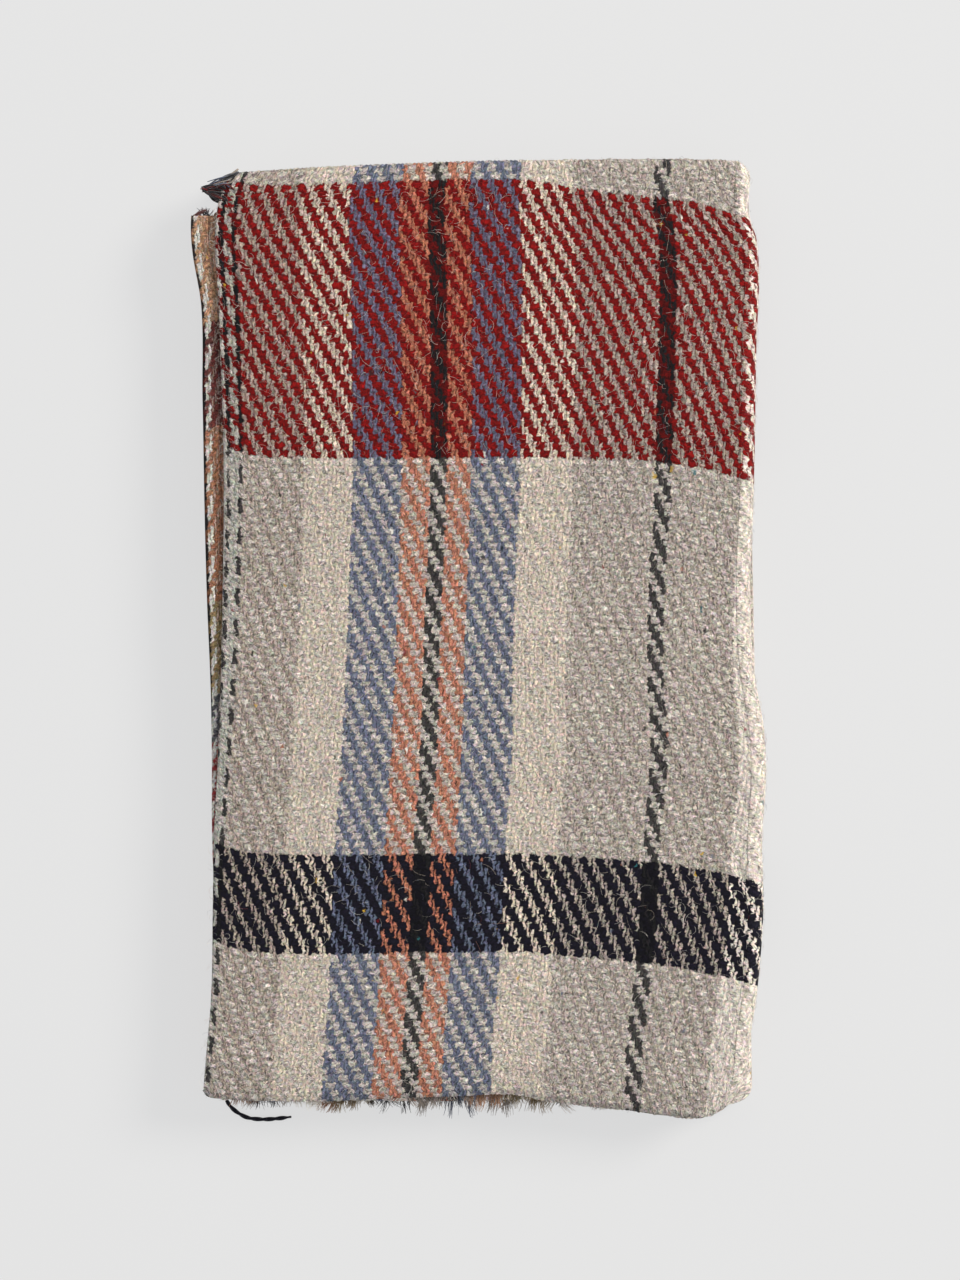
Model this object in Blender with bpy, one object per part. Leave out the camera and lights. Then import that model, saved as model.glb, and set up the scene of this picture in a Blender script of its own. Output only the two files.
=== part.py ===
"""Folded throw blanket: one woven cloth, folded in thirds along its length and
then fan-folded in four leaves across its width.

The cloth lies in twelve plies. Each leaf holds three of them: the middle third
(the face ply), one end third turned under it (the tucked ply) and the other end
third turned over that (the cover ply). Two end folds close each leaf in Y, and
three side folds join the leaves in X, so the leaves open like a fan.

Metres, +Z up. The origin is the middle of the folded outline, on the surface
that the blanket lies on.
"""
import math

import bpy
import numpy as np

# ---- Folded outline ----
FOLDED_WIDTH = 0.325
FOLDED_LENGTH = 0.567

# ---- Cloth ----
PLY_THICKNESS = 0.0030
PLY_GAP = 0.0003
SELVEDGE_WIDTH = 0.0095

# ---- Cut ends ----
FRINGE_LENGTH = 0.0120
FRINGE_THICKNESS = 0.0020
FRINGE_BAND = 0.0020
TUFT_PITCH = 0.0120
COVER_END_SETBACK = 0.0060
TUCKED_END_SETBACK = 0.0270
TUCKED_PEEK = 0.0160
MOTION_CLEARANCE = 0.0010

# ---- Loose yarn ----
YARN_DIAMETER = 0.0024
YARN_LIFT = 0.0001
YARN_STEP = 2.0 * YARN_DIAMETER
# route of the yarn, measured from the front left corner of the folded outline
YARN_ROUTE = (
    (0.0025, -0.0015), (0.0047, -0.0050), (0.0095, -0.0085), (0.0165, -0.0108),
    (0.0250, -0.0113), (0.0335, -0.0100), (0.0420, -0.0077),
)

# ---- Fineness of the turned cloth ----
FOLD_SEGMENTS = 8

PITCH = PLY_THICKNESS + PLY_GAP
PLIES_PER_LEAF = 3
SIDE_RADIUS = PLIES_PER_LEAF * PITCH - PLY_GAP / 2
WIDE_RADIUS = 1.5 * PITCH - PLY_GAP / 2
TIGHT_RADIUS = PITCH - PLY_GAP / 2
SIDE_X = FOLDED_WIDTH / 2 - SIDE_RADIUS
WIDE_Y = FOLDED_LENGTH / 2 - WIDE_RADIUS
TIGHT_Y = -FOLDED_LENGTH / 2 + TIGHT_RADIUS
PIVOT_X = FOLDED_WIDTH / 2 - SIDE_RADIUS / 2

FLAT_FRONT = TIGHT_Y + PLY_GAP
FLAT_BACK = WIDE_Y - PLY_GAP
FLAT_RIGHT = SIDE_X - PLY_GAP
FLAT_LEFT = -FLAT_RIGHT
COVER_FRONT = -FOLDED_LENGTH / 2 + COVER_END_SETBACK
TUCKED_BACK = FOLDED_LENGTH / 2 - TUCKED_END_SETBACK

# The bottom leaf stops short of the place where the top leaf's edge comes down
# when the middle fold is opened.
BOTTOM_INSET = 2 * (FOLDED_WIDTH / 2 - PIVOT_X) + MOTION_CLEARANCE

# ply levels counted from the surface up: (face, tucked, cover)
LEAF_LEVELS = {
    "top_leaf": (11, 10, 9),
    "second_leaf": (6, 7, 8),
    "third_leaf": (5, 4, 3),
    "bottom_leaf": (0, 1, 2),
}
# side folds from the top: name, leaf it rides on, side (+1 right), plies from the inside out
SIDE_FOLDS = (
    ("top_fold", "second_leaf", 1, ("cover", "tucked", "face")),
    ("middle_fold", "third_leaf", -1, ("face", "tucked", "cover")),
    ("bottom_fold", "bottom_leaf", 1, ("cover", "tucked", "face")),
)
FOLD_LEVEL = {"top_fold": 9, "middle_fold": 6, "bottom_fold": 3}
# each leaf turns on the fold below it
LEAF_CHAIN = (
    ("bottom_leaf", None, None),
    ("third_leaf", "bottom_leaf", "bottom_fold"),
    ("second_leaf", "third_leaf", "middle_fold"),
    ("top_leaf", "second_leaf", "top_fold"),
)
LOOKS = {
    "face": ((0.34, 0.29, 0.26, 1.0), 0.92),
    "tucked": ((0.25, 0.08, 0.04, 1.0), 0.93),
    "cover": ((0.27, 0.23, 0.14, 1.0), 0.94),
    "selvedge": ((0.10, 0.11, 0.10, 1.0), 0.90),
    "fringe": ((0.42, 0.34, 0.26, 1.0), 0.95),
    "yarn": ((0.03, 0.035, 0.09, 1.0), 0.93),
}


def level_bottom(level):
    """Height of the underside of the ply at a level."""
    return level * PITCH


def level_middle(level):
    """Height of the middle of the ply at a level."""
    return level_bottom(level) + PLY_THICKNESS / 2


def interface(level):
    """Height half-way across the gap below the ply at a level."""
    return level_bottom(level) - PLY_GAP / 2


def clear_scene():
    """Remove every object that the open file holds."""
    for old in list(bpy.data.objects):
        bpy.data.objects.remove(old, do_unlink=True)


def make_material(name, look):
    """A cloth material of one colour and roughness."""
    colour, roughness = LOOKS[look]
    material = bpy.data.materials.new(name)
    material.use_nodes = True
    shader = material.node_tree.nodes["Principled BSDF"]
    shader.inputs["Base Color"].default_value = colour
    shader.inputs["Roughness"].default_value = roughness
    shader.inputs["Metallic"].default_value = 0.0
    return material


def outline_object(name, points, half_depth, look, collection):
    """A closed flat outline, filled and thickened by half_depth both ways."""
    curve = bpy.data.curves.new(name, "CURVE")
    curve.dimensions = "2D"
    curve.fill_mode = "BOTH"
    curve.extrude = half_depth
    spline = curve.splines.new("POLY")
    spline.points.add(len(points) - 1)
    for point, (x, y) in zip(spline.points, points):
        point.co = (x, y, 0.0, 1.0)
    spline.use_cyclic_u = True
    piece = bpy.data.objects.new(name, curve)
    piece.data.materials.append(make_material(name, look))
    collection.objects.link(piece)
    return piece


def hang(piece, hinge, place, turn=(0.0, 0.0, 0.0)):
    """Put a piece at a world place, under a leaf's hinge empty."""
    piece.parent = hinge["empty"]
    piece.location = [a - b for a, b in zip(place, hinge["place"])]
    piece.rotation_euler = turn


def make_hinges(collection):
    """One empty for each leaf, on the axis that the leaf turns about."""
    hinges = {}
    for leaf, parent, fold in LEAF_CHAIN:
        empty = bpy.data.objects.new(leaf + "_hinge", None)
        place = (0.0, 0.0, 0.0)
        if fold:
            side = next(entry[2] for entry in SIDE_FOLDS if entry[0] == fold)
            place = (side * PIVOT_X, 0.0, interface(FOLD_LEVEL[fold]))
        collection.objects.link(empty)
        hinges[leaf] = {"empty": empty, "place": place}
        if parent:
            empty.parent = hinges[parent]["empty"]
            place = [a - b for a, b in zip(place, hinges[parent]["place"])]
        empty.location = place
    return hinges


def left_edge(leaf, ply, y):
    """The X of a ply's left edge at a given Y.

    Folded edges are straight. The top leaf's tucked ply slants out of the stack
    towards its cut end, and the bottom leaf slants in by as much.
    """
    slant = (y - TIGHT_Y) / (TUCKED_BACK - TIGHT_Y)
    if leaf == "top_leaf":
        peek = TUCKED_PEEK * slant if ply == "tucked" else 0.0
        return -FOLDED_WIDTH / 2 - peek
    if leaf == "bottom_leaf":
        return -FOLDED_WIDTH / 2 + BOTTOM_INSET + TUCKED_PEEK * max(slant, 0.0)
    return FLAT_LEFT


def ply_span(ply):
    """Front and back Y of a ply's flat stretch."""
    if ply == "tucked":
        return FLAT_FRONT, TUCKED_BACK
    if ply == "cover":
        return COVER_FRONT, FLAT_BACK
    return FLAT_FRONT, FLAT_BACK


def has_selvedge(leaf):
    """Only the outer two leaves end in a selvedge."""
    return leaf in ("top_leaf", "bottom_leaf")


def slanted_strip(leaf, ply, inset, width):
    """Outline of a strip that follows a ply's left edge; no width runs it to the right fold."""
    front, back = ply_span(ply)
    corners = []
    for y in (front, back):
        corners.append((left_edge(leaf, ply, y) + inset, y))
    for y in (back, front):
        right = FLAT_RIGHT if width is None else left_edge(leaf, ply, y) + inset + width
        corners.append((right, y))
    return corners


def make_plies(leaf, hinge, collection):
    """The three plies of a leaf, and their selvedges on an outer leaf."""
    for ply, level in zip(("face", "tucked", "cover"), LEAF_LEVELS[leaf]):
        inset = SELVEDGE_WIDTH if has_selvedge(leaf) else 0.0
        name = f"{leaf}_{ply}_ply"
        cloth = outline_object(
            name, slanted_strip(leaf, ply, inset, None), PLY_THICKNESS / 2, ply, collection)
        hang(cloth, hinge, (0.0, 0.0, level_middle(level)))
        if has_selvedge(leaf):
            edge = outline_object(
                f"{leaf}_{ply}_selvedge",
                slanted_strip(leaf, ply, 0.0, SELVEDGE_WIDTH - PLY_GAP),
                PLY_THICKNESS / 2, "selvedge", collection)
            hang(edge, hinge, (0.0, 0.0, level_middle(level)))


def half_ring(inner, outer, side):
    """Section of a fold: half a ring that bulges towards +X or -X."""
    angles = np.linspace(-math.pi / 2, math.pi / 2, FOLD_SEGMENTS + 1)
    run_out = [(side * outer * math.cos(a), outer * math.sin(a)) for a in angles]
    run_back = [(side * inner * math.cos(a), inner * math.sin(a)) for a in angles[::-1]]
    return run_out + run_back


def make_end_folds(leaf, hinge, collection):
    """The wide fold at the back of a leaf and the tight fold at its front."""
    face, tucked, _ = LEAF_LEVELS[leaf]
    along_x = (math.pi / 2, 0.0, math.pi / 2)
    wide_left = left_edge(leaf, "face", WIDE_Y)
    tight_left = left_edge(leaf, "face", TIGHT_Y)
    wide = outline_object(
        f"{leaf}_wide_end_fold",
        half_ring(WIDE_RADIUS - PLY_THICKNESS, WIDE_RADIUS, 1),
        (FLAT_RIGHT - wide_left) / 2, "face", collection)
    hang(wide, hinge, ((FLAT_RIGHT + wide_left) / 2, WIDE_Y, level_middle(tucked)), along_x)
    tight = outline_object(
        f"{leaf}_tight_end_fold",
        half_ring(TIGHT_RADIUS - PLY_THICKNESS, TIGHT_RADIUS, -1),
        (FLAT_RIGHT - tight_left) / 2, "tucked", collection)
    hang(tight, hinge,
         ((FLAT_RIGHT + tight_left) / 2, TIGHT_Y, interface(max(face, tucked))), along_x)


def fringe_outline(left, right, root, direction):
    """Outline of a cut end: a narrow band with pointed tufts along it."""
    tufts = max(2, round((right - left) / TUFT_PITCH))
    step = (right - left) / tufts
    valley = root + direction * FRINGE_BAND
    tip = root + direction * FRINGE_LENGTH
    points = [(left, root), (right, root)]
    for index in range(tufts):
        edge = right - index * step
        points.append((edge, valley))
        points.append((edge - step / 2, tip))
    points.append((left, valley))
    return points


def make_fringes(leaf, hinge, collection):
    """The fringe on the tucked ply's cut end and on the cover ply's."""
    _, tucked, cover = LEAF_LEVELS[leaf]
    ends = (
        ("tucked", tucked, TUCKED_BACK + PLY_GAP, 1),
        ("cover", cover, COVER_FRONT - PLY_GAP, -1),
    )
    for ply, level, root, direction in ends:
        points = fringe_outline(left_edge(leaf, ply, root), FLAT_RIGHT, root, direction)
        tufts = outline_object(
            f"{leaf}_{ply}_fringe", points, FRINGE_THICKNESS / 2, "fringe", collection)
        hang(tufts, hinge, (0.0, 0.0, level_middle(level)))


def make_side_folds(hinges, collection):
    """The nested turns of cloth that join each leaf to the next."""
    along_y = (math.pi / 2, 0.0, 0.0)
    for fold, leaf, side, plies in SIDE_FOLDS:
        for depth, ply in enumerate(plies):
            inner = depth * PITCH + PLY_GAP / 2
            front, back = ply_span(ply)
            turn = outline_object(
                f"{fold}_{ply}_turn", half_ring(inner, inner + PLY_THICKNESS, side),
                (back - front) / 2, ply, collection)
            height = interface(FOLD_LEVEL[fold])
            hang(turn, hinges[leaf], (side * SIDE_X, (front + back) / 2, height), along_y)


def smooth_route(route, step):
    """Points about a step apart on a Catmull-Rom curve through a route."""
    knots = np.array(route)
    first = 2 * knots[0] - knots[1]
    last = 2 * knots[-1] - knots[-2]
    knots = np.vstack((first, knots, last))
    points = []
    for before, start, end, after in zip(knots, knots[1:], knots[2:], knots[3:]):
        count = max(1, round(np.linalg.norm(end - start) / step))
        for t in np.arange(count) / count:
            cubic = 3 * (start - end) + after - before
            square = 2 * before - 5 * start + 4 * end - after
            points.append(start + 0.5 * t * (end - before + t * (square + t * cubic)))
    points.append(knots[-2])
    return points


def make_loose_yarn(hinge, collection):
    """A loose end of yarn that lies on the surface in front of the front left corner.

    It stays in front of the folded outline, clear of the leaves that come down
    there when the middle fold is opened.
    """
    curve = bpy.data.curves.new("loose_yarn", "CURVE")
    curve.dimensions = "3D"
    curve.bevel_depth = YARN_DIAMETER / 2
    curve.bevel_resolution = 2
    curve.use_fill_caps = True
    route = smooth_route(YARN_ROUTE, YARN_STEP)
    spline = curve.splines.new("POLY")
    spline.points.add(len(route) - 1)
    for point, (x, y) in zip(spline.points, route):
        point.co = (x, y, YARN_DIAMETER / 2 + YARN_LIFT, 1.0)
    yarn = bpy.data.objects.new("loose_yarn", curve)
    yarn.data.materials.append(make_material("loose_yarn", "yarn"))
    collection.objects.link(yarn)
    hang(yarn, hinge, (-FOLDED_WIDTH / 2, -FOLDED_LENGTH / 2, 0.0))


def main():
    """Build the whole folded blanket."""
    clear_scene()
    collection = bpy.data.collections.new("folded_throw_blanket")
    bpy.context.scene.collection.children.link(collection)
    hinges = make_hinges(collection)
    for leaf in LEAF_LEVELS:
        make_plies(leaf, hinges[leaf], collection)
        make_end_folds(leaf, hinges[leaf], collection)
        make_fringes(leaf, hinges[leaf], collection)
    make_side_folds(hinges, collection)
    make_loose_yarn(hinges["bottom_leaf"], collection)


main()
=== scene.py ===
"""Folded throw blanket: the visible cloth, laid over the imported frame.

One woven cloth, 1.30 m wide and 1.70 m long, is folded in thirds along its
length and fan-folded in four leaves across its width. Every piece here is a
stretch of that cloth: a ply, a turn, a selvedge, a fringe, its nap or a loose
yarn. They all share the cloth's own coordinates, so a stripe or a band runs on
through each fold.
"""
import logging
import math
from dataclasses import dataclass, replace
from enum import Enum
from typing import Callable, Optional, Sequence

import bpy
import numpy as np
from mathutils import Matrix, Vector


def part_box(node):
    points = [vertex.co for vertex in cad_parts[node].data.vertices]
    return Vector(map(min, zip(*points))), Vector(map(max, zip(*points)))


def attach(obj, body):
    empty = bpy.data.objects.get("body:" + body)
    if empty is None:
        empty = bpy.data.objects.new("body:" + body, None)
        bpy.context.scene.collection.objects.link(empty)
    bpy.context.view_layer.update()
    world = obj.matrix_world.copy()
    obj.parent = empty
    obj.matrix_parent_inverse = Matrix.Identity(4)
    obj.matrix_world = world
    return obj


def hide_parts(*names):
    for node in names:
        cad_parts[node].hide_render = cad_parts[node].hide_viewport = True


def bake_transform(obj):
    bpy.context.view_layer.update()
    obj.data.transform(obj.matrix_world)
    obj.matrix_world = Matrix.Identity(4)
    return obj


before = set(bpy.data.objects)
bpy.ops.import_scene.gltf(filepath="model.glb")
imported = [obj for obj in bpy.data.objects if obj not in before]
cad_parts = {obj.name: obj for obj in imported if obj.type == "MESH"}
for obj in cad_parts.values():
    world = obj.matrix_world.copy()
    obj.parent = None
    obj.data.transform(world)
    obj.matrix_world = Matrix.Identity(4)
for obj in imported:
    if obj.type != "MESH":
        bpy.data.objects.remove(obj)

log = logging.getLogger("throw")
Array = np.ndarray
Pair = tuple[float, float]
Triple = tuple[float, float, float]
Four = tuple[float, float, float, float]
Knots = Sequence[Pair]
Stops = Sequence[tuple[Four, float]]
Placer = Callable[[Array, Array, Array], Array]
Socket = bpy.types.NodeSocket
Piece = bpy.types.Object
Finish = bpy.types.Material
Node = bpy.types.Node
Cloth = Callable[[Array, Array], tuple[Array, Array]]
OUTER_LEAVES = ("top_leaf", "bottom_leaf")
TAU = 2 * math.pi


class Edge(Enum):
    """How the border of a closed stretch of cloth ends, and how much room that takes."""

    ROUND = 0.0014
    SQUARE = 0.00005


class Ply(Enum):
    """Which third of the cloth's length a ply is."""

    FACE = "face"
    TUCKED = "tucked"
    COVER = "cover"

    @property
    def cuts(self) -> tuple[Edge, Edge]:
        """How its first and last ends are: cut round, or running on."""
        return (Edge.ROUND if self is Ply.TUCKED else Edge.SQUARE,
                Edge.ROUND if self is Ply.COVER else Edge.SQUARE)


# ---------------------------------------------------------------- small maths
def smoothstep(low: float, high: float, value: Array) -> Array:
    """A smooth ramp from 0 at low to 1 at high.

    Args:
        low: Where the ramp starts.
        high: Where it ends; it may lie below low.
        value: Where to read it.

    Returns:
        3t^2 - 2t^3 with t the clipped share of the way.
    """
    t = np.clip((value - low) / (high - low), 0.0, 1.0)
    return t * t * (3 - 2 * t)


def through(knots: Knots, at: Array) -> Array:
    """A smooth curve through a few given points.

    Args:
        knots: (place, value) pairs with rising places.
        at: Where to read the curve.

    Returns:
        Cubic Hermite values; the slope at a knot is the one between its
        neighbours, and the ends run on level.
    """
    place, value = np.array(knots).T
    slope = np.gradient(value, place)
    at = np.clip(at, place[0], place[-1])
    left = np.clip(np.searchsorted(place, at, side="right") - 1, 0, len(place) - 2)
    span = place[left + 1] - place[left]
    t = (at - place[left]) / span
    start = (1 + 2 * t) * (1 - t) ** 2 * value[left] + t * (1 - t) ** 2 * span * slope[left]
    end = t * t * (3 - 2 * t) * value[left + 1] - t * t * (1 - t) * span * slope[left + 1]
    return start + end


def unit(vectors: Array) -> Array:
    """The vectors with length 1."""
    return vectors / np.maximum(np.linalg.norm(vectors, axis=-1, keepdims=True), 1e-9)


def run_along(points: Array) -> Array:
    """The distance run along a path, at each of its points."""
    return np.concatenate([[0], np.cumsum(np.linalg.norm(np.diff(points, axis=0), axis=1))])


def linear(hex_colour: str) -> Four:
    """An sRGB hex colour as linear RGBA.

    Args:
        hex_colour: "#" and six hex digits.

    Returns:
        Red, green, blue and alpha from 0 to 1.
    """
    values = [int(hex_colour[i:i + 2], 16) / 255 for i in (1, 3, 5)]
    bent = [v / 12.92 if v <= 0.04045 else ((v + 0.055) / 1.055) ** 2.4 for v in values]
    return (bent[0], bent[1], bent[2], 1.0)


# ---------------------------------------------------------------- the cloth
@dataclass(frozen=True)
class Sett:
    """The weave's real measures, and the weaver's draft of stripes and bands."""

    end_pitch: float = 0.0025
    pick_pitch: float = 0.0046
    float_over: int = 2
    repeat: int = 4
    width: float = 1.30
    relief: float = 0.00055
    edge_ends: int = 4
    selvedge: tuple[str, ...] = ("pale_rim", "ink", "sage", "sage", "ink")
    # warp stripes, in ends
    warp: tuple[tuple[str, int], ...] = (
        ("taupe", 15), ("cream", 12), ("slate", 12), ("salmon", 7), ("ink", 4), ("salmon", 6),
        ("slate", 12), ("cream", 13), ("stone", 20), ("ink", 4), ("stone", 17), ("oat", 10),
    )
    # weft bands, in picks, from the tucked third's cut end
    weft: tuple[tuple[str, int], ...] = (
        ("tan", 18), ("oxblood", 15), ("rust", 22), ("olive", 12), ("charcoal", 6),
        ("crimson", 18), ("natural", 51), ("navy", 14), ("natural", 52), ("red", 35),
        ("natural", 24), ("olive", 10), ("rust", 16), ("charcoal", 6), ("natural", 22),
        ("navy", 12), ("tan", 37),
    )

    @property
    def selvedge_width(self) -> float:
        """Width of the woven edge, four ends."""
        return self.edge_ends * self.end_pitch

    def crown(self, u: Array, v: Array) -> Array:
        """How high the yarn on top stands, from 0 between yarns to 1.

        A yarn on top is a short bump: 1 - |2a - 1|^p across it, times the same
        along its float, with the float two yarns long.

        Args:
            u: Place across the cloth, in metres.
            v: Place along it.

        Returns:
            The height share at each place.
        """
        end, pick = u / self.end_pitch, v / self.pick_pitch
        fine_u, fine_v = end - np.floor(end), pick - np.floor(pick)
        step = np.mod(np.floor(end) + np.floor(pick), self.repeat)
        warp_up = step < self.float_over
        across = np.where(warp_up, fine_u, fine_v)
        along = np.where(warp_up, step + fine_v, step - self.float_over + fine_u) / 2
        return (1 - np.abs(2 * across - 1) ** 2.2) * (1 - np.abs(2 * along - 1) ** 3)


@dataclass(frozen=True)
class Palette:
    """Wool colours, as dyed, in sRGB hex."""

    taupe: str = "#9C8F84"
    cream: str = "#CBBDAC"
    slate: str = "#5B6276"
    salmon: str = "#AA6C55"
    ink: str = "#232224"
    stone: str = "#A0958B"
    pale_rim: str = "#C6C3BA"
    sage: str = "#A0A097"
    oat: str = "#DBD0C4"
    natural: str = "#B3ABA2"
    red: str = "#700A09"
    navy: str = "#100E1A"
    tan: str = "#A47B5E"
    oxblood: str = "#5A2320"
    rust: str = "#8A5B42"
    olive: str = "#7E6A46"
    charcoal: str = "#45454B"
    crimson: str = "#7A161C"
    ochre: str = "#C9A23A"
    teal: str = "#2F6F73"
    bone: str = "#EFE9DD"

    def rgba(self, name: str) -> Four:
        """A named colour as linear RGBA."""
        return linear(getattr(self, name))


class Stack:
    """The folded stack's sizes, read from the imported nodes."""

    def __init__(self) -> None:
        """Read the boxes that fix the outline, the levels and the folds."""
        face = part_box("top_leaf_face_ply")
        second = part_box("top_leaf_tucked_ply")
        self.height = face[1][2]
        self.thickness = face[1][2] - face[0][2]
        self.pitch = face[0][2] - second[0][2]
        self.gap = self.pitch - self.thickness
        self.half_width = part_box("top_fold_face_turn")[1][0]
        self.half_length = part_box("top_leaf_wide_end_fold")[1][1]
        self.side_radius = 3 * self.pitch - self.gap / 2
        self.side_x = self.half_width - self.side_radius
        self.wide_reach = 1.5 * self.pitch - self.gap / 2
        self.tight_reach = self.pitch - self.gap / 2
        self.cover_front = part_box("top_leaf_cover_ply")[0][1]
        self.tucked_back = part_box("top_leaf_tucked_ply")[1][1]
        self.peek = -self.half_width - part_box("top_leaf_tucked_selvedge")[0][0]
        self.bottom_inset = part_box("bottom_leaf_face_selvedge")[0][0] + self.half_width

    @property
    def width(self) -> float:
        """Folded width."""
        return 2 * self.half_width

    @property
    def length(self) -> float:
        """Folded length."""
        return 2 * self.half_length

    def interface(self, level: int) -> float:
        """Height half-way across the gap below the ply at a level."""
        return level * self.pitch - self.gap / 2

    def lengthwise(self, s: Array, rise: Array) -> tuple[Array, Array]:
        """The path of a leaf's cloth, seen from its side.

        s runs from the tucked third's end, back along it, round the tight fold,
        up the face, round the wide fold and back along the cover. Each third
        takes one folded length. Straight stretches are lines, and folds are half
        circles about the ply that they wrap.

        Args:
            s: Place along the path.
            rise: How far outside the middle of the cloth.

        Returns:
            Y, and the depth counted from the cover's outer side.
        """
        one, reach_t, reach_w = self.length, self.tight_reach, self.wide_reach
        tight = np.clip((s - one + reach_t) / (2 * reach_t), 0, 1) * math.pi
        wide = np.clip((s - 2 * one + reach_w) / (2 * reach_w), 0, 1) * math.pi
        tight_y, wide_y = -self.half_length + reach_t, self.half_length - reach_w
        on_tucked, on_face = s < one - reach_t, (s >= one + reach_t) & (s < 2 * one - reach_w)
        on_tight = (s >= one - reach_t) & (s < one + reach_t)
        on_cover = s >= 2 * one + reach_w
        y = np.select(
            [on_tucked, on_tight, on_face, on_cover],
            [self.half_length - s,
             tight_y - (self.pitch / 2 + rise) * np.sin(tight),
             s - one - self.half_length,
             2 * one + self.half_length - s],
            wide_y + (self.pitch + rise) * np.sin(wide))
        depth = np.select(
            [on_tucked, on_tight, on_face, on_cover],
            [1.5 * self.pitch - rise,
             2 * self.pitch - (self.pitch / 2 + rise) * np.cos(tight),
             2.5 * self.pitch + rise,
             0.5 * self.pitch - rise],
            1.5 * self.pitch + (self.pitch + rise) * np.cos(wide))
        return y, depth

    def reach(self, ply: Ply, wide_with_cover: bool = False) -> Pair:
        """The stretch of the path that a ply takes, folds included on the face.

        Args:
            ply: Which third.
            wide_with_cover: The wide fold goes with the cover, not the face.

        Returns:
            First and last place along the path.
        """
        one = self.length
        wide = -self.wide_reach if wide_with_cover else self.wide_reach
        if ply is Ply.TUCKED:
            return self.half_length - self.tucked_back, one - self.tight_reach
        if ply is Ply.FACE:
            return one - self.tight_reach, 2 * one + wide
        return 2 * one + wide, 2 * one + self.half_length - self.cover_front


@dataclass(frozen=True)
class Lie:
    """How the real cloth lies: nothing in it is quite square.

    The knots are (place, offset) pairs in metres, for the top two leaves'
    outline; the lower leaves lie closer to the plain rectangle.
    """

    stack: Stack
    left: Knots = (
        (-0.2835, -0.0092), (-0.254, -0.0068), (-0.225, -0.0043), (-0.165, -0.0030),
        (-0.129, -0.0025), (-0.075, 0.0), (0.021, 0.0029), (0.111, 0.0035), (0.201, 0.0005),
        (0.255, -0.0010), (0.270, 0.0015), (0.2835, 0.0060),
    )
    right: Knots = (
        (-0.2835, -0.0050), (-0.240, -0.0045), (-0.215, -0.0005), (-0.190, 0.0022),
        (-0.162, 0.0038), (-0.123, 0.0030), (-0.078, 0.0054), (-0.055, 0.0040),
        (-0.027, -0.0010), (0.021, -0.0042), (0.081, -0.0022), (0.171, -0.0005),
        (0.230, 0.0004), (0.2385, -0.0006), (0.2465, -0.0034), (0.2835, -0.0037),
    )
    back: Knots = (
        (-0.1625, -0.0048), (-0.120, -0.0022), (-0.078, -0.0003), (-0.005, 0.0021),
        (0.067, 0.0033), (0.130, 0.0034), (0.1625, 0.0024),
    )
    front: Knots = (
        (-0.1625, 0.0046), (-0.140, 0.0034), (-0.115, 0.0027), (-0.093, 0.0027),
        (-0.064, 0.0042), (-0.015, 0.0060), (0.022, 0.0066), (0.038, 0.0033),
        (0.056, 0.0009), (0.075, -0.0015), (0.091, -0.0033), (0.122, -0.0072), (0.1625, -0.0080),
    )
    # corner radii of the top two leaves: front left, front right, back left, back right
    corners: Four = (0.006, 0.036, 0.009, 0.010)
    lower_corner: float = 0.009
    # how much the back, front, left and right edges have sunk, and over what distance
    sink: Knots = (
        (0.13, 0.016), (0.07, 0.010), (0.06, 0.012), (0.05, 0.014))
    # the warp's creep: even, for each metre from the selvedge, and in the selvedge itself
    creep: Triple = (0.010, 0.028, 0.009)
    creep_fade: float = 0.022
    # the picks' droop and its fade, at the selvedge and at the fold, and more at the back
    droop_edge: Pair = (-0.0085, 0.014)
    droop_fold: Pair = (0.0165, 0.036)
    droop_back: float = 0.009
    # how far the tucked third slants out past the top leaf's selvedge
    peek: Knots = (
        (-0.2835, 0.002), (-0.150, 0.0), (-0.099, -0.0027), (-0.039, -0.0057),
        (0.021, -0.0096), (0.093, -0.0122), (0.141, -0.0122), (0.201, -0.0108),
        (0.231, -0.0137), (0.2565, -0.0155),
    )

    def slip(self, a: Array, s: Array) -> Array:
        """How far the warp has crept left on its way to the front.

        It grows a little with the distance from the selvedge, and much towards the front,
        where the selvedge itself has rolled under.

        Args:
            a: Place across the folded cloth.
            s: Place along it.

        Returns:
            Offset in metres.
        """
        from_middle = s - 1.5 * self.stack.length
        even, each_metre, rolled = self.creep
        forward = smoothstep(0.21, -0.30, from_middle) ** 1.3
        near = np.exp(-np.maximum(a, 0) / self.creep_fade)
        under = smoothstep(-0.60, -0.35, from_middle)
        return forward * (even * (1 - near) + each_metre * np.clip(a, 0, 0.3) + rolled * near * under)

    def bow(self, a: Array, s: Array) -> Array:
        """How far the picks droop: up at the selvedge and down at the first fold.

        The back of the cloth droops further at the fold than the rest.

        Args:
            a: Place across the folded cloth.
            s: Place along it.

        Returns:
            Offset in metres, positive towards the front.
        """
        fold = np.abs(self.stack.width - a)
        back = smoothstep(0.19, 0.26, s - 1.5 * self.stack.length)
        return (self.droop_edge[0] * np.exp(-np.maximum(a, 0) / self.droop_edge[1])
                + self.droop_fold[0] * np.exp(-fold / self.droop_fold[1])
                + self.droop_back * back * smoothstep(0.15, 0.07, fold))

    def places(self, u: Array, v: Array) -> tuple[Array, Array]:
        """Where a spot of cloth lies on the folded form; slip and bow undone by iteration.

        Args:
            u: Cloth coordinate across.
            v: Cloth coordinate along.

        Returns:
            Its places across and along the folded form.
        """
        a = np.array(u, float)
        s = np.array(v, float)
        for _ in range(12):
            s = v - self.bow(a, s)
            a = u - self.slip(a, s)
        return a, s

    def cloth(self, a: Array, s: Array) -> tuple[Array, Array]:
        """The cloth coordinates of a place on the folded form."""
        return a + self.slip(a, s), s + self.bow(a, s)

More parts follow.
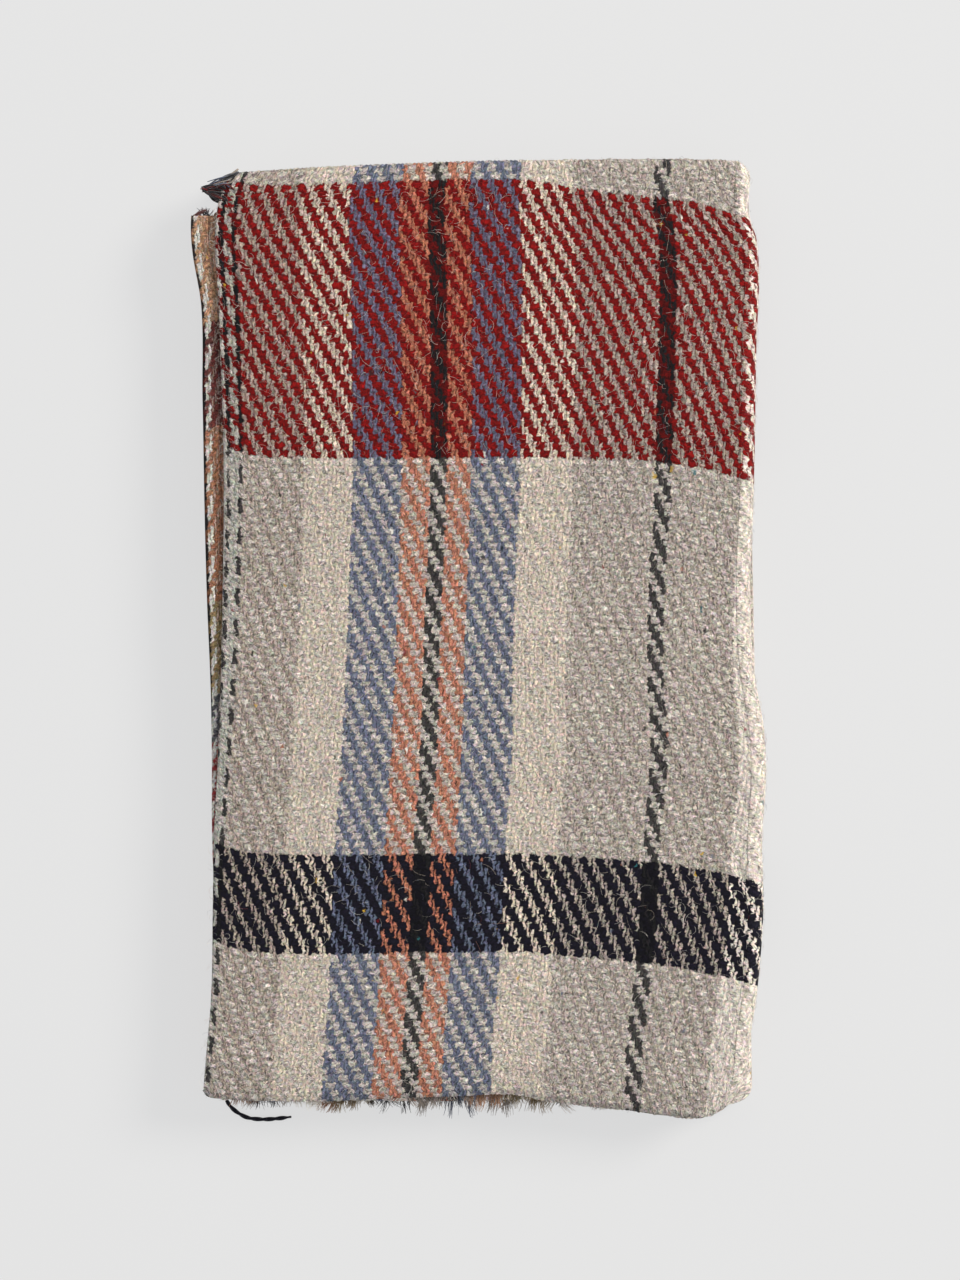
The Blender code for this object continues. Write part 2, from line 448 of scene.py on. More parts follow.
    def round_corners(self, x: Array, y: Array, share: Array) -> tuple[Array, Array]:
        """Round each corner of the outline.

        The square at a corner is squeezed to a quarter disc:
        x' = x sqrt(1 - y^2 / 2), y' = y sqrt(1 - x^2 / 2).

        Args:
            x: Place across.
            y: Place along.
            share: 1 on the top leaves, 0 on the lower ones.

        Returns:
            The new places.
        """
        signs = ((-1, -1), (1, -1), (-1, 1), (1, 1))
        for (side, end), radius in zip(signs, self.corners):
            size = self.lower_corner + (radius - self.lower_corner) * share
            in_x = np.clip((side * x - self.stack.half_width + size) / size, 0, None)
            in_y = np.clip((end * y - self.stack.half_length + size) / size, 0, None)
            cut_x, cut_y = np.minimum(in_x, 1), np.minimum(in_y, 1)
            x = x + side * size * in_x * (np.sqrt(1 - cut_y ** 2 / 2) - 1)
            y = y + end * size * in_y * (np.sqrt(1 - cut_x ** 2 / 2) - 1)
        return x, y

    def settle(self, points: Array) -> Array:
        """Move a point of the plain stack to where the soft cloth really lies.

        Args:
            points: N by 3 places on the plain stack.

        Returns:
            N by 3 places: corners rounded, outline eased, and the edges settled.
        """
        x, y, z = points.T
        half_w, half_l = self.stack.half_width, self.stack.half_length
        share = smoothstep(4 * self.stack.pitch, 8 * self.stack.pitch, z)
        to_right = np.clip((x + half_w) / (2 * half_w), 0, 1)
        to_back = np.clip((y + half_l) / (2 * half_l), 0, 1)
        borders = (half_l - y, half_l + y, half_w + x, half_w - x)
        sunk = sum(depth * np.exp(-np.maximum(distance, 0) / fade)
                   for (depth, fade), distance in zip(self.sink, borders))
        swell = (0.008 * np.sin(x * 31 + 1.3) * np.sin(y * 23 + 0.4)
                 + 0.006 * np.sin(x * 67 + y * 29) + 0.004 * np.sin(y * 83 - x * 21 + 2))
        plain_x, plain_y = x, y
        x, y = self.round_corners(x, y, share)
        lower_left = 0.0022 + 0.0012 * np.sin(plain_y * 17 + 1)
        lower_right = -0.0008 + 0.0012 * np.sin(plain_y * 19 + 2.4)
        lower_right = lower_right - 0.0085 * smoothstep(0.19, 0.25, plain_y)
        left = lower_left + (through(self.left, plain_y) - lower_left) * share
        right = lower_right + (through(self.right, plain_y) - lower_right) * share
        back = -0.002 + (through(self.back, plain_x) + 0.002) * share
        front = 0.0006 * np.sin(plain_x * 40)
        front = front + (through(self.front, plain_x) - front) * share
        x = x + left * (1 - to_right) ** 2 + right * to_right ** 2
        y = y + front * (1 - to_back) ** 5 + back * to_back ** 5
        return np.stack([x, y, z * (1 - sunk + swell)], axis=1)


@dataclass(frozen=True)
class Leaf:
    """One of the four leaves: where it lies and which way its cloth runs."""

    body: str
    level: int
    up: int
    start: float
    heading: int

    def across(self, x: Array, half_width: float) -> Array:
        """The place across the folded cloth for an X on this leaf."""
        return self.start + half_width + self.heading * x


@dataclass(frozen=True)
class SideFold:
    """A side fold between two leaves."""

    name: str
    upper: str
    lower: str
    level: int
    side: int
    start: float
    innermost: Ply


# ---------------------------------------------------------------- mesh making
def grid_faces(rows: int, columns: int) -> Array:
    """Quads of a rows by columns grid of points, counted row by row."""
    index = np.arange(rows * columns).reshape(rows, columns)
    return np.stack(
        [index[:-1, :-1], index[:-1, 1:], index[1:, 1:], index[1:, :-1]], axis=-1).reshape(-1, 4)


def add_mesh(name: str, points: Array, faces: Array, uv: Optional[Array] = None,
             smooth: bool = True) -> Piece:
    """Make an object at the origin from arrays, dropping points that no face uses.

    Args:
        name: The piece's name.
        points: N by 3 places.
        faces: M by 3 or M by 4 indices.
        uv: N by 2 cloth coordinates, for each point.
        smooth: Shade it smooth.

    Returns:
        The new object.
    """
    used, inverse = np.unique(faces, return_inverse=True)
    points, faces = points[used], inverse.reshape(faces.shape)
    mesh = bpy.data.meshes.new(name)
    mesh.vertices.add(len(points))
    mesh.vertices.foreach_set("co", points.astype(np.float32).ravel())
    mesh.loops.add(faces.size)
    mesh.loops.foreach_set("vertex_index", faces.astype(np.int32).ravel())
    mesh.polygons.add(len(faces))
    mesh.polygons.foreach_set("loop_start", np.arange(0, faces.size, faces.shape[1], dtype=np.int32))
    mesh.update(calc_edges=True)
    if uv is not None:
        layer = mesh.uv_layers.new(name="cloth")
        layer.data.foreach_set("uv", uv[used][faces.ravel()].astype(np.float32).ravel())
    mesh.polygons.foreach_set("use_smooth", np.full(len(faces), smooth))
    mesh.validate()
    piece = bpy.data.objects.new(name, mesh)
    bpy.context.scene.collection.objects.link(piece)
    return piece


def outward(faces: Array, points: Array, away: Array) -> Array:
    """Turn all the faces over if most of them look against the away directions.

    Args:
        faces: M by 4 indices.
        points: N by 3 places.
        away: N by 3 directions that point out of the cloth.

    Returns:
        The faces, turned if needed.
    """
    a, b, c = points[faces[:, 0]], points[faces[:, 1]], points[faces[:, 2]]
    looks = np.einsum("ij,ij->i", np.cross(b - a, c - a), away[faces[:, 0]])
    return faces[:, ::-1] if looks.sum() < 0 else faces


def edge_share(values: Array, low: Edge, high: Edge) -> Array:
    """How thick a closed sheet is along one direction, as a share of its full half.

    Args:
        values: Rising places across the sheet.
        low: How its low border ends.
        high: How its high border ends.

    Returns:
        sqrt(1 - (1 - d / r)^2) within r of each border, 1 between.
    """
    near = np.clip((values - values[0]) / low.value, 0, 1)
    far = np.clip((values[-1] - values) / high.value, 0, 1)
    return np.sqrt(1 - (1 - near) ** 2) * np.sqrt(1 - (1 - far) ** 2)


def spread(low: float, high: float, count: int, first: Edge, last: Edge) -> Array:
    """Even places from low to high, with extra ones where a border is rounded.

    Args:
        low: The first place.
        high: The last place.
        count: How many even places.
        first: How the low border ends.
        last: How the high border ends.

    Returns:
        Rising places.
    """
    inner = np.linspace(low + first.value, high - last.value, count)
    shares = np.array([0.0, 0.04, 0.15, 0.35, 0.65])
    start = low + shares[:1 if first is Edge.SQUARE else None] * first.value
    end = high - shares[:1 if last is Edge.SQUARE else None] * last.value
    return np.concatenate([start, inner, end[::-1]])


def closed_sheet(name: str, place: Placer, cloth: Cloth,
                 across: Array, along: Array, borders: tuple[Edge, Edge, Edge, Edge],
                 half: float) -> Piece:
    """A stretch of cloth with both faces, closed all round its border.

    Args:
        name: The piece's name.
        place: Gives points from place across, place along and rise.
        cloth: Gives cloth coordinates from the same places.
        across: Rising places across.
        along: Rising places along.
        borders: How the low and high borders end, across and then along.
        half: Half the cloth's thickness.

    Returns:
        The new object.
    """
    one, two = np.meshgrid(across, along)
    share = edge_share(along, borders[2], borders[3])[:, None] * edge_share(
        across, borders[0], borders[1])[None, :]
    share = share.ravel()
    one, two = one.ravel(), two.ravel()
    u, v = cloth(one, two)
    rise = share * half
    top, bottom = place(one, two, rise), place(one, two, -rise)
    count = len(one)
    index = np.arange(count).reshape(len(along), len(across))
    border = np.ones(index.shape, bool)
    border[1:-1, 1:-1] = False
    lower = np.where(border, index, index + count).ravel()
    faces = grid_faces(len(along), len(across))
    faces = outward(faces, top, top - bottom)
    both = np.concatenate([faces, lower[faces][:, ::-1]])
    points = np.concatenate([top, bottom])
    uv = np.stack([np.tile(u, 2), np.tile(v, 2)], axis=1)
    return add_mesh(name, points, both, uv)


def tubes(name: str, spines: Array, radii: Array, sides: int, uv: Array,
          shade: bool = True) -> Piece:
    """Many thin closed tubes at once, along spines of the same number of points.

    Each ring is a circle square to its spine, and the ends close in a point.

    Args:
        name: The piece's name.
        spines: K by P by 3 points.
        radii: K by P radii.
        sides: Faces round a tube.
        uv: K by P by 2 cloth coordinates.
        shade: Shade them smooth.

    Returns:
        The new object.
    """
    count, steps, _ = spines.shape
    along = unit(np.gradient(spines, axis=1))
    guide = np.where(np.abs(along[..., 2:3]) > 0.85, [1.0, 0.0, 0.0], [0.0, 0.0, 1.0])
    side = unit(np.cross(along, guide))
    up = np.cross(side, along)
    angle = np.arange(sides) / sides * TAU
    ring = (np.cos(angle)[:, None] * side[:, :, None, :]
            + np.sin(angle)[:, None] * up[:, :, None, :])
    body = spines[:, :, None, :] + ring * radii[:, :, None, None]
    per_tube = steps * sides + 2
    tip_a = spines[:, :1] - along[:, :1] * radii[:, :1, None] * 0.5
    tip_b = spines[:, -1:] + along[:, -1:] * radii[:, -1:, None] * 0.5
    points = np.concatenate([body.reshape(count, -1, 3), tip_a, tip_b], axis=1).reshape(-1, 3)
    near = np.arange(steps - 1)[:, None] * sides + np.arange(sides)[None, :]
    turn = np.arange(steps - 1)[:, None] * sides + (np.arange(sides)[None, :] + 1) % sides
    walls = np.stack([near, turn, turn + sides, near + sides], axis=-1).reshape(-1, 4)
    first, last = np.arange(sides), (steps - 1) * sides + np.arange(sides)
    cap_a = np.stack([np.roll(first, -1), first, np.full(sides, steps * sides)], axis=1)
    cap_b = np.stack([last, np.roll(last, -1), np.full(sides, steps * sides + 1)], axis=1)
    caps = np.concatenate([cap_a, cap_b])
    base = np.arange(count)[:, None, None] * per_tube
    quads = (walls[None] + base).reshape(-1, 4)
    triangles = (caps[None] + base).reshape(-1, 3)
    flat_uv = np.concatenate(
        [np.repeat(uv[:, :, None, :], sides, axis=2).reshape(count, -1, 2),
         uv[:, :1], uv[:, -1:]], axis=1).reshape(-1, 2)
    halves = np.concatenate([quads[:, [0, 1, 2]], quads[:, [0, 2, 3]], triangles])
    return add_mesh(name, points, halves, flat_uv, shade)


# ---------------------------------------------------------------- finishes
def node(tree: bpy.types.NodeTree, kind: str, links: Optional[dict] = None,
         **settings: object) -> Node:
    """Add a node with its settings, set values and links.

    Args:
        tree: The node tree.
        kind: The node's type name.
        links: Socket name or number to a value or to another node's output.
        settings: Attributes of the node.

    Returns:
        The new node.
    """
    new = tree.nodes.new(kind)
    for key, value in settings.items():
        setattr(new, key, value)
    for socket, value in (links or {}).items():
        if isinstance(value, Socket):
            tree.links.new(value, new.inputs[socket])
        else:
            new.inputs[socket].default_value = value
    return new


class Graph:
    """A short hand for the sums that a weave needs in a node tree."""

    def __init__(self, tree: bpy.types.NodeTree) -> None:
        """Keep the tree that nodes are added to."""
        self.tree = tree

    def sum(self, operation: str, *values: object) -> Socket:
        """One Math node's result."""
        links = dict(enumerate(values))
        return node(self.tree, "ShaderNodeMath", links, operation=operation).outputs[0]

    def mix(self, share: object, low: object, high: object) -> Socket:
        """low + share * (high - low), for numbers."""
        return node(self.tree, "ShaderNodeMix", {0: share, 2: low, 3: high},
                    data_type="FLOAT").outputs[0]

    def blend(self, share: object, low: object, high: object,
              how: str = "MIX") -> Socket:
        """Two colours blended."""
        return node(self.tree, "ShaderNodeMix", {0: share, 6: low, 7: high},
                    data_type="RGBA", blend_type=how).outputs[2]

    def ramp(self, value: object, low: float, high: float) -> Socket:
        """A smooth step from 0 at low to 1 at high.

        Args:
            value: The number that it reads.
            low: Where it starts.
            high: Where it ends; it may lie below low.

        Returns:
            The step's height.
        """
        if low > high:
            return self.sum("SUBTRACT", 1.0, self.ramp(value, high, low))
        return node(self.tree, "ShaderNodeMapRange", {0: value, 1: low, 2: high},
                    interpolation_type="SMOOTHSTEP").outputs[0]

    def noise(self, vector: Socket, size: float, **values: float) -> Node:
        """A noise texture whose grain is size metres."""
        return node(self.tree, "ShaderNodeTexNoise", {"Vector": vector, "Scale": 1 / size, **values})

    def split(self, vector: Socket) -> tuple[Socket, Socket]:
        """A vector's first two parts."""
        parts = node(self.tree, "ShaderNodeSeparateXYZ", {0: vector})
        return parts.outputs[0], parts.outputs[1]

    def pale(self, colour: Socket) -> Socket:
        """How light a colour is."""
        return node(self.tree, "ShaderNodeRGBToBW", {0: colour}).outputs[0]

    def dim(self, colour: Socket, light: Socket) -> Socket:
        """A colour times a number."""
        grey = node(self.tree, "ShaderNodeCombineColor", {0: light, 1: light, 2: light})
        return self.blend(1.0, colour, grey.outputs[0], "MULTIPLY")

    def steps(self, place: object, colours: Stops) -> Socket:
        """A ramp of flat colours.

        Args:
            place: Share of the way, from 0 to 1.
            colours: Each colour, and the share of the way where it starts.

        Returns:
            The colour there.
        """
        ramp = node(self.tree, "ShaderNodeValToRGB", {0: place})
        ramp.color_ramp.interpolation = "CONSTANT"
        ramp.color_ramp.elements.remove(ramp.color_ramp.elements[1])
        for number, (colour, start) in enumerate(colours):
            stop = ramp.color_ramp.elements[0] if number == 0 else (
                ramp.color_ramp.elements.new(start))
            stop.position = start
            stop.color = colour
        return ramp.outputs[0]


def new_finish(name: str, values: dict[str, object]) -> tuple[Finish, Graph, Node]:
    """A new material, with constants on its shader's own sockets.

    Args:
        name: What it is.
        values: The shader's socket names and their values.

    Returns:
        The material, its node tree's sums, and its shader.
    """
    material = bpy.data.materials.new(name)
    material.use_nodes = True
    shader = material.node_tree.nodes["Principled BSDF"]
    for socket, value in values.items():
        shader.inputs[socket].default_value = value
    return material, Graph(material.node_tree), shader


def stops(draft: Sequence[tuple[str, int]],
          look: Callable[[str], tuple]) -> Stops:
    """A weaver's draft as ramp stops, by share of its whole count.

    Args:
        draft: Each yarn's name and how many of it follow each other.
        look: Gives a name's four numbers.

    Returns:
        The numbers, and the share of the way where they start.
    """
    counts = [count for _, count in draft]
    starts = np.cumsum([0] + counts[:-1]) / sum(counts)
    return [(look(name), float(start)) for (name, _), start in zip(draft, starts)]


@dataclass(frozen=True)
class WoolTwill:
    """Woollen 2/2 twill, carded and piece-dyed yarns: matt, hairy and speckled.

    The eye sees short fat floats, painted shade in the hollows between them, and a heather of
    lighter and darker fibres in every yarn.
    """

    name: str
    sett: Sett
    palette: Palette
    roughness: float = 0.93
    sheen: float = 0.02
    sheen_roughness: float = 0.6
    specular: float = 0.2
    # painted shade: the colour is darker in the hollows between yarns and lighter on their crowns
    shade: Pair = (0.60, 1.10)
    bump: float = 0.9
    bump_height: float = 0.0006
    # the fibres' own relief, as a share of the yarn's
    grain: float = 0.8
    float_half: float = 1.35
    # a weft yarn's fullness over the warp, its opacity, how softly it ends, and its haze; the red and
    # navy wefts are fuller than the plain one, partly for their fuzz over the warp and partly as
    # painted shade between the dark yarns
    plain_weft: Four = (0.36, 0.88, 0.33, 0.06)
    red_weft: Four = (0.80, 1.0, 0.34, 0.14)
    navy_weft: Four = (1.10, 1.0, 0.26, 0.06)
    back_weft: Four = (1.40, 0.96, 0.70, 0.03)
    # how much darker a dyed pick looks where it crosses a nearly black end
    dark_crossing: float = 0.50
    dark_end: Pair = (0.06, 0.03)
    dark_pick: Pair = (0.30, 0.12)
    bare_ends: int = 5
    bare_weft: float = 0.40
    wander_size: float = 0.0036
    wander: float = 0.0040
    fuzz_size: float = 0.0011
    fuzz: float = 0.0026
    fibre_across: float = 0.0007
    fibre_along: float = 0.0021
    dark: float = 0.20
    bright: float = 1.92
    clump: float = 0.0018
    clump_depth: float = 0.85
    # lighter yarns have fewer dark fibres, and their painted shade in the hollows is weaker too
    calm: float = 0.42
    calm_from: Pair = (0.42, 0.56)
    # how yarns differ, and small dark specks: their size, when one starts, and its tone
    yarn_tones: Pair = (0.90, 1.10)
    speck: float = 0.0012
    speck_from: Pair = (0.66, 0.74)
    speck_tone: float = 0.45
    tint_size: float = 0.0018
    tint: float = 0.62
    nep_colours: tuple[str, ...] = (
        "ochre", "ink", "teal", "ink", "crimson", "bone", "slate", "ink", "bone", "salmon")
    # the knots' spacing, their size as a share of it, and the share of places left empty
    nep_kinds: tuple[Triple, ...] = (
        (0.0110, 0.14, 0.70), (0.0110 / 3, 0.26, 0.84))

    def make(self) -> Finish:
        """Build the node tree.

        Returns:
            The material.
        """
        sett = self.sett
        material, g, shader = new_finish(self.name, {
            "Roughness": self.roughness, "Sheen Weight": self.sheen,
            "Sheen Roughness": self.sheen_roughness, "Specular IOR Level": self.specular})
        tree = g.tree
        flat = node(tree, "ShaderNodeUVMap", uv_map="cloth").outputs[0]
        uv = self.felted(g, flat)
        u, v = g.split(uv)
        end, pick = g.sum("DIVIDE", u, sett.end_pitch), g.sum("DIVIDE", v, sett.pick_pitch)
        end_no, pick_no = g.sum("FLOOR", end), g.sum("FLOOR", pick)
        fine_u, fine_v = g.sum("SUBTRACT", end, end_no), g.sum("SUBTRACT", pick, pick_no)
        step = g.sum("FLOORED_MODULO", g.sum("ADD", end_no, pick_no), float(sett.repeat))
        picks = float(sum(count for _, count in sett.weft))
        band_place = g.sum("DIVIDE", g.sum("ADD", pick_no, 0.5), picks)
        weft = self.float_crown(g, g.sum("ADD", step, fine_u), 3.0, fine_v)
        warp = self.float_crown(g, g.sum("ADD", step, fine_v), 1.0, fine_u)
        looks = {"natural": self.plain_weft, "red": self.red_weft, "navy": self.navy_weft}
        bands = g.steps(band_place, stops(
            sett.weft, lambda name: looks.get(name, self.back_weft)))
        character = node(tree, "ShaderNodeSeparateColor", {0: bands})
        ends = round(sett.width / sett.end_pitch)
        from_edge = g.sum("MINIMUM", end_no, g.sum("SUBTRACT", float(ends - 1), end_no))
        bare = g.sum("LESS_THAN", from_edge, self.bare_ends - 0.5)
        # a red or navy weft's extra fullness spreads its colour over the warp beside it: partly its
        # fuzz, partly painted shade between dark yarns
        fullness = g.mix(bare, character.outputs[0], self.bare_weft)
        over = g.sum("ADD", g.sum("SUBTRACT", weft, warp), g.sum("SUBTRACT", fullness, 0.5))
        spread_to = g.sum("MULTIPLY_ADD", g.sum("DIVIDE", over, character.outputs[2]), 0.5, 0.5)
        weft_shows = g.sum("MULTIPLY", g.ramp(spread_to, 0.0, 1.0), character.outputs[1])
        warp_up = g.sum("LESS_THAN", over, 0.0)
        crown = g.sum("MAXIMUM", weft, warp)

        # stripes and bands, one flat colour a yarn
        mids = g.sum("ADD", end_no, 0.5 - len(sett.selvedge))
        total = float(sum(count for _, count in sett.warp))
        stripe = g.steps(g.sum("DIVIDE", g.sum("FLOORED_MODULO", mids, total), total),
                         stops(sett.warp, self.palette.rgba))
        rim = stops([(name, 1) for name in sett.selvedge], self.palette.rgba)
        rim_place = g.sum("DIVIDE", g.sum("ADD", from_edge, 0.5), float(len(sett.selvedge)))
        in_rim = g.sum("LESS_THAN", from_edge, len(sett.selvedge) - 0.5)
        warp_colour = g.blend(in_rim, stripe, g.steps(rim_place, rim))
        band = g.steps(band_place, stops(sett.weft, self.palette.rgba))
        dark_end = g.ramp(g.pale(warp_colour), *self.dark_end)
        dark_pick = g.ramp(g.pale(band), *self.dark_pick)
        crossing = g.sum("MULTIPLY", dark_end, dark_pick)
        haze = g.sum("MULTIPLY", bands.node.outputs[1], g.sum("SUBTRACT", 1.0, crossing))
        weft_shows = g.sum("MAXIMUM", weft_shows, haze)
        colour = g.blend(weft_shows, warp_colour, band)

        light, grain = self.heather(g, uv, warp_up, end_no, pick_no)
        # painted shade: the colour darkens towards the hollows between yarns and lightens on the
        # crowns
        shade = g.mix(g.sum("POWER", crown, 0.7), *self.shade)
        light = g.sum("MULTIPLY", light, shade)
        calm = g.mix(g.ramp(g.pale(colour), *self.calm_from), 0.0, self.calm)
        light = g.mix(calm, light, 1.0)
        light = g.sum("MULTIPLY", light, g.mix(crossing, 1.0, 1 - self.dark_crossing))
        colour = self.tints(g, flat, g.dim(colour, light))
        tree.links.new(self.neps(g, uv, colour), shader.inputs["Base Color"])
        height = g.sum("ADD", crown, g.sum("MULTIPLY", grain, self.grain))
        bump = node(tree, "ShaderNodeBump", {
            "Height": height, "Strength": self.bump, "Distance": self.bump_height})
        tree.links.new(bump.outputs[0], shader.inputs["Normal"])
        return material

    def felted(self, g: Graph, uv: Socket) -> Socket:
        """Cloth coordinates pushed about, as milling felts and blurs the yarns' borders.

        Args:
            g: The node tree's sums.
            uv: Cloth coordinates.

        Returns:
            The pushed coordinates.
        """
        for size, push in ((self.wander_size, self.wander), (self.fuzz_size, self.fuzz)):
            noise = g.noise(uv, size, Detail=1.0)
            centred = node(g.tree, "ShaderNodeVectorMath", {
                0: noise.outputs[1], 1: (0.5, 0.5, 0.5)}, operation="SUBTRACT")
            uv = node(g.tree, "ShaderNodeVectorMath", {
                0: centred.outputs[0], 1: (push, push, 0.0), 2: uv},
                operation="MULTIPLY_ADD").outputs[0]
        return uv

    def heather(self, g: Graph, uv: Socket, warp_up: Socket,
                end_no: Socket, pick_no: Socket,
                ) -> tuple[Socket, Socket]:
        """The tone of the fibres: each yarn its own, and streaks that run along it.

        Args:
            g: The node tree's sums.
            uv: Cloth coordinates.
            warp_up: 1 where the warp is on top.
            end_no: Number of the end.
            pick_no: Number of the pick.

        Returns:
            A factor for the colour, and the fibres' own height from 0 to 1.
        """
        tree = g.tree
        u, v = g.split(uv)
        number = g.mix(warp_up, g.sum("ADD", pick_no, 900.5), end_no)
        tone = node(tree, "ShaderNodeTexWhiteNoise", {"W": number}, noise_dimensions="1D")
        size_u = g.mix(warp_up, 1 / self.fibre_along, 1 / self.fibre_across)
        size_v = g.mix(warp_up, 1 / self.fibre_across, 1 / self.fibre_along)
        place = node(tree, "ShaderNodeCombineXYZ", {
            0: g.sum("MULTIPLY", u, size_u), 1: g.sum("MULTIPLY", v, size_v),
            2: g.sum("MULTIPLY", warp_up, 7.0)})
        fibre = g.noise(place.outputs[0], 1.0, Detail=2.0, Roughness=0.65)
        clump = g.noise(uv, self.clump, Detail=1.0)
        light = g.mix(g.ramp(fibre.outputs[0], 0.22, 0.78), self.dark, self.bright)
        light = g.sum("MULTIPLY", light, g.mix(tone.outputs[0], *self.yarn_tones))
        light = g.sum("MULTIPLY", light, g.mix(
            clump.outputs[0], 1 - self.clump_depth, 1 + self.clump_depth))
        speck = g.noise(uv, self.speck, Detail=0.0)
        specks = g.ramp(speck.outputs[0], *self.speck_from)
        light = g.sum("MULTIPLY", light, g.mix(specks, 1.0, self.speck_tone))
        return light, fibre.outputs[0]

    def tints(self, g: Graph, uv: Socket,
              colour: Socket) -> Socket:
        """Stray dyed fibres: the colour wanders a little to pink, green or blue.

        Args:
            g: The node tree's sums.
            uv: Cloth coordinates.
            colour: The cloth's colour so far.

        Returns:
            The tinted colour.
        """
        noise = g.noise(uv, self.tint_size, Detail=2.0)
        tint = node(g.tree, "ShaderNodeVectorMath", {
            0: noise.outputs[1], 1: (self.tint,) * 3, 2: (1 - self.tint / 2,) * 3},
            operation="MULTIPLY_ADD")
        return g.blend(1.0, colour, tint.outputs[0], "MULTIPLY")

    def float_crown(self, g: Graph, place: object, middle: float,
                    across: object) -> Socket:
        """How high a float stands: a round bump along it times one across it.

        Along it, 1 - (d / half)^4 with d the distance from the float's middle in
        the four-yarn repeat; across it, 1 - |2a - 1|^2.6; never below 0.

        Args:
            g: The node tree's sums.
            place: Place in the repeat, from 0 to 4 yarns.
            middle: Where the float's middle is.
            across: Place across the yarn, from 0 to 1.

        Returns:
            The height share.
        """
        turned = g.sum("FLOORED_MODULO", g.sum("ADD", place, 6.0 - middle), 4.0)
        away = g.sum("ABSOLUTE", g.sum("SUBTRACT", turned, 2.0))
        along = g.sum("SUBTRACT", 1.0, g.sum("POWER", g.sum("DIVIDE", away, self.float_half), 4.0))
        centred = g.sum("ABSOLUTE", g.sum("MULTIPLY_ADD", across, 2.0, -1.0))
        over = g.sum("SUBTRACT", 1.0, g.sum("POWER", centred, 2.6))
        return g.sum("MULTIPLY", g.sum("MAXIMUM", along, 0.0), over)

    def neps(self, g: Graph, uv: Socket,
             colour: Socket) -> Socket:
        """Small knots of other colours, spun in with the recycled wool.

        Args:
            g: The node tree's sums.
            uv: Cloth coordinates.
            colour: The cloth's colour so far.

        Returns:
            The colour with its knots.
        """
        hues = stops([(name, 1) for name in self.nep_colours], self.palette.rgba)
        for spacing, size, rarity in self.nep_kinds:
            drawn = node(g.tree, "ShaderNodeMapping", {"Vector": uv, "Scale": (1.0, 0.6, 1.0)})
            cells = node(g.tree, "ShaderNodeTexVoronoi", {
                "Vector": drawn.outputs[0], "Scale": 1 / spacing, "Randomness": 1.0})
            chance = node(g.tree, "ShaderNodeSeparateColor", {0: cells.outputs["Color"]})
            reach = g.mix(chance.outputs[2], size * 0.4, size)
            ragged = g.noise(uv, self.fibre_across)
            place = g.sum("ADD", g.sum("DIVIDE", cells.outputs["Distance"], reach),
                          g.sum("SUBTRACT", ragged.outputs[0], 0.5))
            near = g.ramp(place, 1.0, 0.5)
            few = g.sum("GREATER_THAN", chance.outputs[1], rarity)
            share = g.sum("MULTIPLY", g.sum("MULTIPLY", near, few), 0.85)
            colour = g.blend(share, colour, g.steps(chance.outputs[0], hues))
        return colour


@dataclass(frozen=True)
class LooseWool:
    """Carded wool that has come out of the weave: fringe, nap and yarn ends.

    It reads its colours by the place across the cloth, as its ends do.
    """

    name: str
    palette: Palette
    colours: tuple[tuple[str, float], ...]
    width: float
    roughness: float = 0.95
    sheen: float = 0.3
    specular: float = 0.2
    fibre: float = 1 / 1800
    tones: Pair = (0.35, 1.65)

    def make(self) -> Finish:
        """Build the node tree.

        Returns:
            The material.
        """
        material, g, shader = new_finish(self.name, {
            "Roughness": self.roughness, "Sheen Weight": self.sheen,
            "Specular IOR Level": self.specular})
        uv = node(g.tree, "ShaderNodeUVMap", uv_map="cloth").outputs[0]
        share = g.sum("FRACT", g.sum("DIVIDE", g.split(uv)[0], self.width))
        colour = g.steps(share, [(self.palette.rgba(name), place) for name, place in self.colours])
        light = g.mix(g.noise(uv, self.fibre, Detail=2.0).outputs[0], *self.tones)
        g.tree.links.new(g.dim(colour, light), shader.inputs["Base Color"])
        return material


# the colours of the loose wools, by the share of the way where each starts
WOOLS = {
    "fringe": (("oxblood", 0.0), ("navy", 0.03), ("tan", 0.06), ("slate", 0.09), ("navy", 0.125),
               ("taupe", 0.155), ("bone", 0.185), ("olive", 0.24), ("taupe", 0.29),
               ("ink", 0.335), ("bone", 0.36), ("taupe", 0.39), ("ink", 0.43), ("stone", 0.455),
               ("tan", 0.52), ("olive", 0.57), ("ink", 0.63), ("stone", 0.70),
               ("slate", 0.76), ("stone", 0.83), ("cream", 0.92)),
    "nap": (("bone", 0.0), ("cream", 0.42), ("natural", 0.66), ("salmon", 0.84),
            ("slate", 0.88), ("ink", 0.93), ("red", 0.97)),
    "yarn": (("navy", 0.0),),
    "tuft": (("charcoal", 0.0), ("taupe", 0.06), ("ink", 0.12), ("charcoal", 0.26),
             ("slate", 0.38), ("oxblood", 0.46), ("ink", 0.60), ("crimson", 0.76),
             ("oxblood", 0.80), ("ink", 0.86)),
}


def dress(piece: Piece, material: Finish, body: str = "") -> None:
    """Give a piece its finish and its body.

    Args:
        piece: The piece.
        material: Its finish.
        body: The body that it rides; a side fold's piece has none.
    """
    piece.data.materials.append(material)
    if body:
        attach(piece, body)
    log.info("%s: %d faces", piece.name, len(piece.data.polygons))


